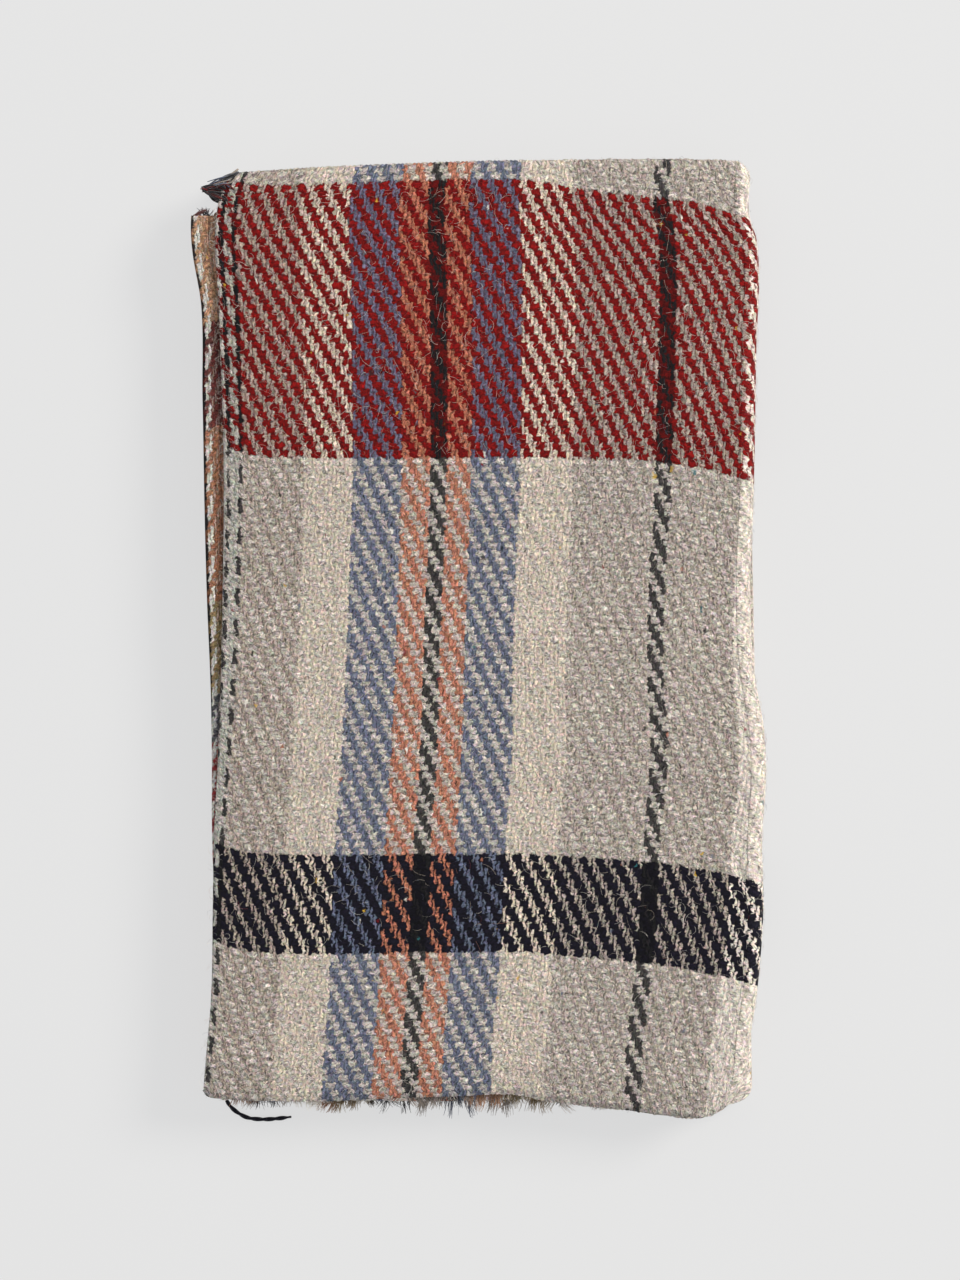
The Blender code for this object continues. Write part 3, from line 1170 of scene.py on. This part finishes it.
# ---------------------------------------------------------------- the blanket
class Blanket:
    """The whole folded blanket: its leaves, its side folds and its cloth."""

    # how far the top face's grid runs on past the tight end, the wide end and the side fold,
    # which leaves room for the creep and the droop
    face_margins = (0.010, 0.018, 0.022)
    # columns and rows of a ply, columns of a woven edge, columns and rows of a turn and of
    # the turn that shows most, and rows round the tight and the wide end fold
    ply_grid = (56, 110)
    edge_columns = 13
    turn_grid = (18, 110)
    fine_turn_grid = (44, 260)
    fold_rows = (11, 15)
    least_step = 2e-5
    edge_swell = 0.0002
    # half the height of the row of faces that bridges an outer turn's two halves
    bridge = 0.0015
    # half the height in which the blend goes over from one leaf to the other
    seam = 0.00001
    # The cloth has settled some 5 % below a joint's axis, so an opened leaf lies twice that
    # higher than its neighbour. An outer turn parts at this share of the axis's height above
    # it, so that both its halves stay under the two leaves.
    parting = 0.095

    def __init__(self) -> None:
        """Read the stack and set out the leaves and side folds."""
        self.stack = Stack()
        self.sett = Sett()
        self.palette = Palette()
        self.lie = Lie(self.stack)
        self.twill = WoolTwill("woollen_twill", self.sett, self.palette).make()
        back = replace(self.sett, selvedge=("ink", "pale_rim", "pale_rim", "taupe", "taupe"))
        self.twill_back = WoolTwill("woollen_twill_back", back, self.palette, bare_ends=3).make()
        width = self.stack.width
        self.leaves = (
            Leaf("top_leaf", 9, 1, 0.0, 1),
            Leaf("second_leaf", 9, -1, width, -1),
            Leaf("third_leaf", 3, 1, 2 * width, 1),
            Leaf("bottom_leaf", 3, -1, 3 * width, -1),
        )
        self.folds = (
            SideFold("top_fold", "top_leaf", "second_leaf", 9, 1, width, Ply.COVER),
            SideFold("middle_fold", "second_leaf", "third_leaf", 6, -1, 2 * width, Ply.FACE),
            SideFold("bottom_fold", "third_leaf", "bottom_leaf", 3, 1, 3 * width, Ply.COVER),
        )

    def left_edge(self, leaf: Leaf, ply: Ply, y: Array) -> Array:
        """The X of a ply's left border on the plain stack.

        Args:
            leaf: The leaf.
            ply: The ply.
            y: Places along it.

        Returns:
            X at each place; the top leaf's tucked ply slants out.
        """
        half = self.stack.half_width
        slant = np.clip((y + self.stack.half_length) / (
            self.stack.tucked_back + self.stack.half_length), 0, 1)
        if leaf.body == "top_leaf":
            return -half + through(self.lie.peek, y) * (ply is Ply.TUCKED)
        if leaf.body == "bottom_leaf":
            return -half + self.stack.bottom_inset + self.stack.peek * slant
        return np.full_like(y, -self.stack.side_x)

    def left_of(self, leaf: Leaf) -> float:
        """The X of a leaf's left border, before any slant."""
        in_front = -1.0
        return float(self.left_edge(leaf, Ply.FACE, np.array([in_front]))[0])

    def leaf_placer(self, leaf: Leaf, ply: Ply) -> Placer:
        """How a leaf's cloth is placed.

        Args:
            leaf: The leaf.
            ply: The ply.

        Returns:
            Points from X measured from the ply's left border's plain place,
            place along the path, and rise.
        """
        base = self.stack.interface(leaf.level)
        left, right = self.left_of(leaf), self.stack.side_x

        def place(x: Array, s: Array, rise: Array) -> Array:
            y, depth = self.stack.lengthwise(s, rise)
            if leaf.body in OUTER_LEAVES:
                slant = self.left_edge(leaf, ply, y) - left
                x = x + slant * np.clip((right - x) / (right - left), 0, 1)
            return self.lie.settle(np.stack([x, y, base + leaf.up * depth], axis=1))

        return place

    def cloth_on(self, leaf: Leaf) -> Cloth:
        """Cloth coordinates from X and place along, on a leaf."""
        half = self.stack.half_width

        def cloth(x: Array, s: Array) -> tuple[Array, Array]:
            return self.lie.cloth(leaf.across(x, half), s)

        return cloth

    def fold_placer(self, fold: SideFold) -> Placer:
        """How a side fold's cloth is placed.

        Args:
            fold: The side fold.

        Returns:
            Points from the angle round the fold, place along and rise. The leaf's
            path is carried round half a turn about the fold's line.
        """
        centre_z = self.stack.interface(fold.level)
        whole = 3 * self.stack.pitch

        def place(angle: Array, s: Array, rise: Array) -> Array:
            y, depth = self.stack.lengthwise(s, rise)
            radius = depth if fold.innermost is Ply.COVER else whole - depth
            x = fold.side * (self.stack.side_x + radius * np.sin(angle))
            z = centre_z + radius * np.cos(angle)
            return np.stack([x, y, z], axis=1)

        return place

    def cloth_round(self, fold: SideFold) -> Cloth:
        """Cloth coordinates from the angle and place along, in a side fold."""
        reach = self.stack.side_radius

        def cloth(angle: Array, s: Array) -> tuple[Array, Array]:
            a = fold.start + reach * (2 * angle / math.pi - 1)
            return self.lie.cloth(a, s)

        return cloth

    # ---- the cloth's stretches
    def top_face(self) -> Piece:
        """The top leaf's face with every yarn in relief.

        The grid follows the yarns, with two columns an end and two rows a pick,
        so a column or row falls in each hollow and on each crown. Spots past the
        fold line are brought back to it, and faces wholly past it are dropped.

        Returns:
            The piece.
        """
        stack, sett, leaf = self.stack, self.sett, self.leaves[0]
        low_s, high_s = stack.reach(Ply.FACE)
        low_a, high_a = sett.selvedge_width, stack.half_width + stack.side_x
        before, after, beside = self.face_margins
        first_pick = math.floor((low_s - before) / sett.pick_pitch)
        last_pick = math.ceil((high_s + after) / sett.pick_pitch)
        last_end = math.ceil((high_a + beside) / sett.end_pitch)
        u = np.arange(2 * sett.edge_ends, 2 * last_end + 1) * sett.end_pitch / 2
        v = np.arange(2 * first_pick, 2 * last_pick + 1) * sett.pick_pitch / 2
        grid_u, grid_v = (g.ravel() for g in np.meshgrid(u, v))
        a, s = self.lie.places(grid_u, grid_v)
        a_in, s_in = np.clip(a, low_a, high_a), np.clip(s, low_s, high_s)
        true_u, true_v = self.lie.cloth(a_in, s_in)
        crown = sett.crown(np.where(a == a_in, grid_u, true_u) + 1e-7,
                           np.where(s == s_in, grid_v, true_v) + 1e-7)
        rise = stack.thickness / 2 + sett.relief * crown
        place = self.leaf_placer(leaf, Ply.FACE)
        x = a_in - stack.half_width
        points = place(x, s_in, rise)
        inner = place(x, s_in, rise - stack.thickness)
        faces = grid_faces(len(v), len(u))
        past = (a > high_a + 1e-9) | (s < low_s - 1e-9) | (s > high_s + 1e-9) | (a < low_a - 1e-9)
        faces = faces[~past[faces].all(axis=1)]
        faces = outward(faces, points, points - inner)
        piece = add_mesh("top_leaf_face_cloth", points, faces,
                         np.stack([true_u, true_v], axis=1))
        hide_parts("top_leaf_face_ply", "top_leaf_wide_end_fold", "top_leaf_tight_end_fold")
        return piece

    def stretch(self, name: str, ply: Ply, place: Placer, cloth: Cloth, across: Array,
                reach: Pair, rows: int, edge: Edge = Edge.SQUARE) -> Piece:
        """A stretch of a ply's cloth, with closer rows where it goes round an end fold.

        Args:
            name: The piece's name.
            ply: Which third.
            place: Where its spots lie.
            cloth: Their cloth coordinates.
            across: Rising places across.
            reach: First and last place along.
            rows: How many even places along.
            edge: Round for a woven edge, which is a little thicker and has even rows.

        Returns:
            The piece.
        """
        stack = self.stack
        along = spread(*reach, rows, *ply.cuts)
        half = stack.thickness / 2
        if edge is Edge.SQUARE:
            one, tight, wide = stack.length, stack.tight_reach, stack.wide_reach
            extra = np.concatenate([
                np.linspace(one - tight, one + tight, self.fold_rows[0]),
                np.linspace(2 * one - wide, 2 * one + wide, self.fold_rows[1])])
            extra = extra[(extra > reach[0]) & (extra < reach[1])]
            along = np.unique(np.concatenate([along, extra]))
            along = along[np.concatenate([[True], np.diff(along) > self.least_step])]
        else:
            half += self.edge_swell
        return closed_sheet(name, place, cloth, across, along, (edge, Edge.SQUARE, *ply.cuts), half)

    def ply_piece(self, leaf: Leaf, ply: Ply) -> Piece:
        """A ply of a leaf as a closed sheet, with its end folds on the face ply.

        Args:
            leaf: The leaf.
            ply: The ply.

        Returns:
            The piece.
        """
        body = leaf.body
        left = self.left_of(leaf) + self.sett.selvedge_width * (body in OUTER_LEAVES)
        piece = self.stretch(
            f"{body}_{ply.value}_cloth", ply, self.leaf_placer(leaf, ply), self.cloth_on(leaf),
            spread(left, self.stack.side_x, self.ply_grid[0], Edge.SQUARE, Edge.SQUARE),
            self.stack.reach(ply), self.ply_grid[1])
        nodes = [f"{body}_{ply.value}_ply"]
        if ply is Ply.FACE:
            nodes += [f"{body}_wide_end_fold", f"{body}_tight_end_fold"]
        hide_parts(*nodes)
        return piece

    def selvedge_piece(self, leaf: Leaf, ply: Ply) -> Piece:
        """The woven edge of a ply: firmer and rounder than the cloth beside it.

        Args:
            leaf: The leaf, one of the outer two.
            ply: The ply.

        Returns:
            The piece.
        """
        left, (low_s, high_s) = self.left_of(leaf), self.stack.reach(ply)
        piece = self.stretch(
            f"{leaf.body}_{ply.value}_woven_edge", ply, self.leaf_placer(leaf, ply),
            self.cloth_on(leaf),
            spread(left, left + self.sett.selvedge_width, self.edge_columns,
                   Edge.ROUND, Edge.SQUARE),
            (low_s, high_s), int((high_s - low_s) / self.sett.pick_pitch * 2), Edge.ROUND)
        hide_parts(f"{leaf.body}_{ply.value}_selvedge")
        return piece

    def turn_piece(self, fold: SideFold, ply: Ply) -> Piece:
        """One thickness of cloth round a side fold.

        Args:
            fold: The side fold.
            ply: Which third.

        Returns:
            The piece.
        """
        shows_most = fold.name == "top_fold" and ply is Ply.FACE
        columns, rows = self.fine_turn_grid if shows_most else self.turn_grid
        across = spread(0.0, math.pi, columns, Edge.SQUARE, Edge.SQUARE)
        nest = self.nest(fold, ply)
        if nest:
            radius = (nest + 0.5) * self.stack.pitch
            away = np.abs(radius * np.cos(across) - self.split(fold, nest))
            across = across[away > self.bridge]
        reach = self.stack.reach(ply, wide_with_cover=fold.innermost is Ply.FACE)
        piece = self.stretch(
            f"{fold.name}_{ply.value}_cloth", ply, self.fold_placer(fold), self.cloth_round(fold),
            across, reach, rows)
        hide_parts(f"{fold.name}_{ply.value}_turn")
        return piece

    def make_cloth(self) -> None:
        """Every ply and selvedge, dressed and set on its body; every turn, dressed and settled."""
        for leaf in self.leaves:
            for ply in Ply:
                if leaf.body == "top_leaf" and ply is Ply.FACE:
                    piece = self.top_face()
                else:
                    piece = self.ply_piece(leaf, ply)
                finish = self.twill_back if ply is Ply.TUCKED else self.twill
                dress(piece, finish, leaf.body)
                if leaf.body in OUTER_LEAVES:
                    dress(self.selvedge_piece(leaf, ply), finish, leaf.body)
        for fold in self.folds:
            for ply in Ply:
                piece = self.turn_piece(fold, ply)
                dress(piece, self.twill)
                self.bend(piece, fold, ply)

    def nest(self, fold: SideFold, ply: Ply) -> int:
        """How many thicknesses a turn goes round: 0, 1 or 2."""
        order = (Ply.COVER, Ply.TUCKED, Ply.FACE)
        return order.index(ply) if fold.innermost is Ply.COVER else 2 - order.index(ply)

    def split(self, fold: SideFold, nest: int) -> float:
        """How far above the fold's middle a turn parts; the outer two part higher."""
        return self.parting * self.stack.interface(fold.level) if nest else 0.0

    def bend(self, piece: Piece, fold: SideFold, ply: Ply) -> None:
        """Settle a turn with the rest of the cloth.

        Args:
            piece: The turn, still on the plain stack.
            fold: Its side fold.
            ply: Which third it is.
        """
        middle = self.stack.interface(fold.level) + self.split(fold, self.nest(fold, ply))
        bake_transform(piece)
        points = np.empty(len(piece.data.vertices) * 3, np.float32)
        piece.data.vertices.foreach_get("co", points)
        settled = self.lie.settle(points.reshape(-1, 3).astype(float))
        piece.data.vertices.foreach_set("co", settled.astype(np.float32).ravel())
        piece.data.update()


@dataclass(frozen=True)
class Fringe:
    """The cut ends of a ply: short strands, unravelled and frayed."""

    blanket: Blanket
    per_end: int = 10
    strand: float = 0.00029
    clump: float = 0.0055
    reach: Pair = (0.0065, 0.0125)
    tucked_reach: Pair = (0.003, 0.007)
    points: int = 6
    # how far a clump and a strand lean sideways, and a strand's scatter, droop and wave
    lean: float = 0.0035
    stray: float = 0.0012
    scatter: float = 0.0009
    droop: float = 0.0012
    wave: float = 0.0005
    lowest: float = 0.0006
    # a clump's reach and looseness, the margin at the sides, and the length inside the cloth
    clump_reach: Pair = (0.35, 1.25)
    looseness: float = 0.30
    margin: float = 0.001
    rooted: float = 0.002
    # how far a clump's colour wanders, and how far the colours shift from level to level
    mixing: float = 0.006
    shift: float = 0.037
    seed: int = 21
    # how long the strands are across the front, by place from the selvedge's side
    fullness: Knots = (
        (-0.1625, 0.75), (-0.110, 1.0), (-0.060, 0.95), (0.0, 1.15), (0.028, 1.1),
        (0.050, 0.8), (0.100, 0.45), (0.1625, 0.4),
    )

    def spines(self, leaf: Leaf, ply: Ply) -> tuple[Array, Array, Array]:
        """Strand paths: out from the cut end, drifting sideways and drooping.

        x = root + drift t^2, the place along runs evenly, and the rise follows a
        quarter wave.

        Args:
            leaf: The leaf.
            ply: The tucked or the cover ply.

        Returns:
            Strand paths, radii, and cloth coordinates.
        """
        blanket, stack = self.blanket, self.blanket.stack
        rng = np.random.default_rng(self.seed + 7 * leaf.level + leaf.up + (ply is Ply.COVER) * 3)
        left = blanket.left_of(leaf)
        pitch = blanket.sett.end_pitch
        ends = int((stack.side_x - left) / pitch)
        shown = leaf.body in ("top_leaf", "third_leaf") or ply is Ply.COVER
        count = ends * (self.per_end if shown else 2)
        t = np.linspace(0, 1, self.points)[None, :]
        clumps = int(ends * pitch / self.clump)
        clump = np.sort(rng.integers(0, clumps, count))
        middle = left + (np.arange(clumps) + rng.uniform(0.2, 0.8, clumps)) * self.clump
        lean = rng.normal(0, self.lean, clumps)
        tall = rng.uniform(*self.clump_reach, clumps)
        root = middle[clump] + rng.normal(0, self.clump * self.looseness, count)
        root = np.clip(root, left + self.margin, stack.side_x - self.margin)[:, None]
        low_s, high_s = stack.reach(ply)
        span = self.reach if ply is Ply.COVER else self.tucked_reach
        length = (rng.uniform(*span, count) * tall[clump])[:, None]
        if ply is Ply.COVER:
            length = length * through(self.fullness, root)
        out = 1.0 if ply is Ply.COVER else -1.0
        s = high_s if ply is Ply.COVER else low_s
        s = s + out * (t * (length + self.rooted) - self.rooted)
        drift = (lean[clump] + rng.normal(0, self.stray, count))[:, None]
        phase = rng.uniform(0, TAU, count)[:, None]
        x = root + drift * t ** 2 + self.wave * np.sin(t * 7 + phase)
        rise = rng.uniform(-self.scatter, self.scatter, count)[:, None]
        rise = rise + leaf.up * -self.droop * np.sin(t * 1.5) ** 2
        x, s, rise = (np.broadcast_to(value, (count, self.points)) for value in (x, s, rise))
        points = blanket.leaf_placer(leaf, ply)(x.ravel(), s.ravel(), rise.ravel())
        points = points.reshape(count, self.points, 3)
        points[..., 2] = np.maximum(points[..., 2], self.lowest)
        radii = self.strand * rng.uniform(0.45, 1.5, count)[:, None] * (1 - 0.75 * t ** 1.5)
        tone = rng.normal(0, self.mixing, clumps)[clump][:, None] + leaf.level * self.shift
        mixed = np.repeat(middle[clump][:, None] + stack.half_width + tone, self.points, axis=1)
        return points, radii, np.stack([mixed, s], axis=-1)

    def make(self, leaf: Leaf, ply: Ply, finish: Finish) -> None:
        """Build one ply's fringe.

        Args:
            leaf: The leaf.
            ply: The tucked or the cover ply.
            finish: Its wool.
        """
        points, radii, uv = self.spines(leaf, ply)
        piece = tubes(f"{leaf.body}_{ply.value}_frayed_ends", points, radii, 4, uv)
        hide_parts(f"{leaf.body}_{ply.value}_fringe")
        dress(piece, finish, leaf.body)


@dataclass(frozen=True)
class Nap:
    """Loose fibres that stand off the cloth: what brushing and wear pull out."""

    blanket: Blanket
    count: int = 3600
    fold_count: int = 800
    fibre: float = 0.000065
    length: Pair = (0.003, 0.012)
    lift: float = 0.0015
    points: int = 7
    # the share of fibres that crowd the worn red band, and that hang at the woven edge
    crowded: float = 0.30
    edging: float = 0.10
    # where the red band lies, from the middle of the face
    red_band: Pair = (0.09, 0.27)
    seed: int = 5

    def curls(self, count: int, rng: np.random.Generator) -> tuple[Array, Array, Array, Array]:
        """Fibre shapes on the flat: arcs whose heading turns evenly.

        Args:
            count: How many.
            rng: The random source.

        Returns:
            Share along, sideways and forward offsets, and lift, each count by 7.
        """
        t = np.linspace(0, 1, self.points)[None, :]
        heading = rng.uniform(0, TAU, count)[:, None]
        bend = rng.normal(0, 1.5, count)[:, None]
        size = (self.length[0] + (self.length[1] - self.length[0])
                * rng.uniform(0, 1, count) ** 2.2)[:, None]
        steps = size * np.diff(t, axis=1, prepend=0)
        across = np.cumsum(np.cos(heading + bend * t) * steps, axis=1)
        forward = np.cumsum(np.sin(heading + bend * t) * steps, axis=1)
        lift = self.lift * rng.uniform(0.15, 1.0, count)[:, None] * np.sin(t * 2.8) + 0.0001
        return np.broadcast_to(t, across.shape), across, forward, lift

    def on_leaf(self, finish: Finish) -> None:
        """Fibres over the top leaf's face, its end folds and its selvedge."""
        blanket, stack = self.blanket, self.blanket.stack
        rng = np.random.default_rng(self.seed)
        t, across, forward, lift = self.curls(self.count, rng)
        low_s, high_s = stack.reach(Ply.FACE)
        x = rng.uniform(-stack.half_width, stack.side_x, self.count)
        s = rng.uniform(low_s, high_s, self.count)
        band = rng.uniform(0, 1, self.count) < self.crowded
        middle = 1.5 * stack.length
        s[band] = rng.uniform(middle + self.red_band[0], middle + self.red_band[1], band.sum())
        edge = rng.uniform(0, 1, self.count) < self.edging
        x[edge] = -stack.half_width + 0.0005
        x = np.clip(x[:, None] + across, -stack.half_width - 0.003, stack.side_x)
        s = np.clip(s[:, None] + forward, low_s, high_s)
        rise = stack.thickness / 2 + blanket.sett.relief * 0.6 + lift
        rise = np.where(x < -stack.half_width, rise * 0.4, rise)
        place = blanket.leaf_placer(blanket.leaves[0], Ply.FACE)
        self.piece("top_leaf_nap", place, (x, s, rise), t, rng, finish, "top_leaf")

    def round_fold(self, finish: Finish) -> None:
        """Fibres round the top side fold, which bend with it."""
        blanket, stack = self.blanket, self.blanket.stack
        rng = np.random.default_rng(self.seed + 1)
        t, across, forward, lift = self.curls(self.fold_count, rng)
        low_s, high_s = stack.reach(Ply.FACE)
        angle = rng.uniform(0.05, 2.4, self.fold_count)[:, None] + across / stack.side_radius
        angle = np.clip(angle, 0.0, math.pi)
        s = np.clip(rng.uniform(low_s, high_s, self.fold_count)[:, None] + forward, low_s, high_s)
        fold = blanket.folds[0]
        piece = self.piece("top_fold_nap", blanket.fold_placer(fold),
                           (angle, s, stack.thickness / 2 + lift), t, rng, finish)
        blanket.bend(piece, fold, Ply.FACE)

    def piece(self, name: str, place: Placer, where: tuple[Array, Array, Array], t: Array,
              rng: np.random.Generator, finish: Finish, body: str = "") -> Piece:
        """Make the fibres' mesh and dress it.

        Args:
            name: The piece's name.
            place: Where the cloth's spots lie.
            where: Place across, place along and rise of each fibre's points.
            t: Share along each fibre.
            rng: The random source.
            finish: Its wool.
            body: The body that it rides, if it rides one.

        Returns:
            The piece.
        """
        count = len(t)
        points = place(*(value.ravel() for value in where)).reshape(count, self.points, 3)
        hue = np.repeat(rng.uniform(0, 1, (count, 1)), self.points, axis=1)
        radii = self.fibre * rng.uniform(0.6, 1.25, count)[:, None] * (1 - 0.6 * t ** 2)
        piece = tubes(name, points, radii, 3, np.stack([hue, where[1]], axis=-1))
        dress(piece, finish, body)
        return piece


@dataclass(frozen=True)
class LooseYarn:
    """An end of two-ply navy yarn that has worked out at the front left corner."""

    diameter: float = 0.0024
    height: float = 0.0013
    turns_per_diameter: float = 0.16
    steps: int = 90
    # a ply's distance from the middle and its radius, as shares of the diameter
    apart: float = 0.17
    ply: float = 0.40
    # its route, across and along from the folded outline's front left corner
    route: Knots = (
        (0.0025, -0.0015), (0.0047, -0.0050), (0.0090, -0.0088), (0.0155, -0.0121),
        (0.0240, -0.0131), (0.0330, -0.0127), (0.0420, -0.0116),
    )

    def path(self, corner: Pair, points: int) -> Array:
        """The route as a smooth curve (Catmull-Rom) with even steps.

        Args:
            corner: X and Y of the outline's front left corner.
            points: How many points.

        Returns:
            Points along it.
        """
        knots = np.array([(corner[0] + x, corner[1] + y, self.height) for x, y in self.route])
        padded = np.concatenate([[2 * knots[0] - knots[1]], knots, [2 * knots[-1] - knots[-2]]])
        place = np.linspace(0, len(knots) - 1, 400)
        leg = np.minimum(place.astype(int), len(knots) - 2)
        t = (place - leg)[:, None]
        a, b, c, d = (padded[leg + k] for k in range(4))
        curve = 0.5 * (2 * b + (c - a) * t + (2 * a - 5 * b + 4 * c - d) * t ** 2
                       + (3 * b - a - 3 * c + d) * t ** 3)
        run = run_along(curve)
        even = np.linspace(0, run[-1], points)
        return np.stack([np.interp(even, run, curve[:, k]) for k in range(3)], axis=1)

    def make(self, stack: Stack, finish: Finish) -> None:
        """Each ply's centre turns round the route: offset = r (cos a side + sin a up).

        Args:
            stack: The folded stack's sizes.
            finish: Its wool.
        """
        centre = self.path((-stack.half_width, -stack.half_length), self.steps)
        along = unit(np.gradient(centre, axis=0))
        up = np.array([0.0, 0.0, 1.0])
        side = np.cross(along, up)
        run = run_along(centre)
        length = float(run[-1])
        share = run / length
        taper = 1 - 0.45 * smoothstep(0.86, 1.0, share) - 0.2 * smoothstep(0.05, 0.0, share)
        turn = run / self.diameter * self.turns_per_diameter * TAU
        plies = []
        for start in (0.0, math.pi):
            offset = np.cos(turn + start)[:, None] * side + np.sin(turn + start)[:, None] * up
            plies.append(centre + offset * (self.diameter * self.apart * taper)[:, None])
        spines = np.stack(plies)
        radii = np.tile(self.diameter * self.ply * taper, (2, 1))
        uv = np.stack([np.full(spines.shape[:2], 0.5), np.tile(run, (2, 1))], axis=-1)
        piece = tubes("loose_yarn_end", spines, radii, 10, uv)
        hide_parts("loose_yarn")
        dress(piece, finish, "bottom_leaf")
        log.info("%s: %.1f mm", piece.name, length * 1000)


@dataclass(frozen=True)
class CornerTuft:
    """The selvedge's yarns, matted into a flap that points out at the back left corner."""

    high: Triple = (-0.1545, 0.2795, 0.0300)
    low: Triple = (-0.1610, 0.2590, 0.0350)
    tip: Triple = (-0.1720, 0.2690, 0.0300)
    inset: float = 0.004
    yarns: int = 240
    yarn: float = 0.00055
    points: int = 9
    scatter: Triple = (0.0008, 0.0008, 0.0011)
    wave: float = 0.0014
    spread: float = 0.0009
    # how much neighbouring colours mix
    mixing: float = 0.16
    seed: int = 3

    def make(self, finish: Finish) -> None:
        """Yarns from the line between the two roots, drawn together at the tip.

        p = root + (tip - root) t, with a little wave that dies at the tip.

        Args:
            finish: Its wool.
        """
        rng = np.random.default_rng(self.seed)
        t = np.linspace(0, 1, self.points)[None, :, None]
        share = np.sort(rng.uniform(0, 1, self.yarns))[:, None, None]
        high, low, tip = (np.array(place) for place in (self.high, self.low, self.tip))
        root = high + (low - high) * share + np.array([self.inset, 0.0, 0.0])
        root = root + rng.normal(0, 1, (self.yarns, 1, 3)) * np.array(self.scatter)
        reach = rng.uniform(0.55, 1.03, (self.yarns, 1, 1))
        wave = rng.normal(0, self.wave, (self.yarns, 1, 3)) * np.sin(math.pi * t)
        tip = tip + rng.normal(0, self.spread, (self.yarns, 1, 3))
        spines = root + (tip - root) * t * reach + wave
        radii = self.yarn * rng.uniform(0.6, 1.5, (self.yarns, 1)) * (1 - 0.6 * t[..., 0] ** 2)
        shade = np.clip(share[..., 0] + rng.normal(0, self.mixing, (self.yarns, 1)), 0, 0.999)
        run = np.broadcast_to(t[..., 0] * 0.02, (self.yarns, self.points))
        uv = np.stack([np.repeat(shade, self.points, axis=1), run], axis=-1)
        piece = tubes("top_leaf_corner_tuft", spines, radii, 5, uv)
        dress(piece, finish, "top_leaf")


# ---------------------------------------------------------------- the setting
@dataclass(frozen=True)
class Studio:
    """A pale table, a soft light from the upper right, and a camera above."""

    lens: float = 85.0
    frame_height: float = 0.768
    sensor: float = 36.0
    shift_x: float = -0.0048
    shift_y: float = -0.0030
    table_reach: float = 12.0
    table_tone: float = 0.155
    table_glow: float = 0.625
    lamp_place: Triple = (4.4, 2.4, 3.3)
    lamp_size: float = 2.4
    lamp_power: float = 350.0
    lamp_colour: str = "#FFFAF2"
    sky_colour: str = "#F2F5FA"
    sky_strength: float = 0.62

    def camera(self, top: float) -> None:
        """Look straight down, so that the frame's height fits at the top ply.

        Args:
            top: Height of the top ply.
        """
        data = bpy.data.cameras.new("camera")
        data.lens = self.lens
        data.sensor_width = self.sensor
        camera = bpy.data.objects.new("camera", data)
        distance = self.frame_height * self.lens / self.sensor
        camera.location = (self.shift_x, self.shift_y, top + distance)
        bpy.context.scene.collection.objects.link(camera)
        bpy.context.scene.camera = camera

    def table(self) -> None:
        """A plain pale surface at the height that the blanket lies on."""
        signs = np.array([(-1, -1, 0), (1, -1, 0), (1, 1, 0), (-1, 1, 0)], float)
        table = add_mesh("table_top", signs * self.table_reach, np.array([[0, 1, 2, 3]]),
                         smooth=False)
        # a lit opal sheet, which the eye sees as an even pale ground with soft shadows
        paint, _, _ = new_finish("lit_opal_acrylic", {
            "Base Color": (*(self.table_tone,) * 3, 1.0), "Roughness": 0.9,
            "Specular IOR Level": 0.0, "Emission Color": (1.0, 1.0, 1.0, 1.0),
            "Emission Strength": self.table_glow})
        table.data.materials.append(paint)

    def light(self) -> None:
        """One broad soft lamp and an even sky."""
        lamp = bpy.data.lights.new("softbox", "AREA")
        lamp.shape = "DISK"
        lamp.size = self.lamp_size
        lamp.energy = self.lamp_power
        lamp.color = linear(self.lamp_colour)[:3]
        softbox = bpy.data.objects.new("softbox", lamp)
        softbox.location = self.lamp_place
        aim = -np.array(softbox.location)
        softbox.rotation_euler = (
            math.acos(-aim[2] / np.linalg.norm(aim)), 0.0, math.atan2(-aim[0], aim[1]))
        bpy.context.scene.collection.objects.link(softbox)
        world = bpy.data.worlds.new("sky")
        world.use_nodes = True
        background = world.node_tree.nodes["Background"]
        background.inputs[0].default_value = linear(self.sky_colour)
        background.inputs[1].default_value = self.sky_strength
        bpy.context.scene.world = world
        bpy.context.scene.view_settings.view_transform = "Standard"


def main() -> None:
    """Build the blanket and its setting, in order."""
    logging.basicConfig(level=logging.INFO, format="%(message)s")
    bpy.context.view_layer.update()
    blanket = Blanket()
    studio = Studio()
    studio.camera(blanket.stack.height)
    studio.light()
    studio.table()
    spans = {"fringe": blanket.stack.width}
    finishes = {
        name: LooseWool(f"carded_wool_{name}", blanket.palette, colours,
                        spans.get(name, 1.0)).make()
        for name, colours in WOOLS.items()
    }
    LooseYarn().make(blanket.stack, finishes["yarn"])
    blanket.make_cloth()
    fringe = Fringe(blanket)
    for leaf in blanket.leaves:
        for ply in (Ply.TUCKED, Ply.COVER):
            fringe.make(leaf, ply, finishes["fringe"])
    nap = Nap(blanket)
    nap.on_leaf(finishes["nap"])
    nap.round_fold(finishes["nap"])
    CornerTuft().make(finishes["tuft"])


if __name__ == "__main__":
    main()
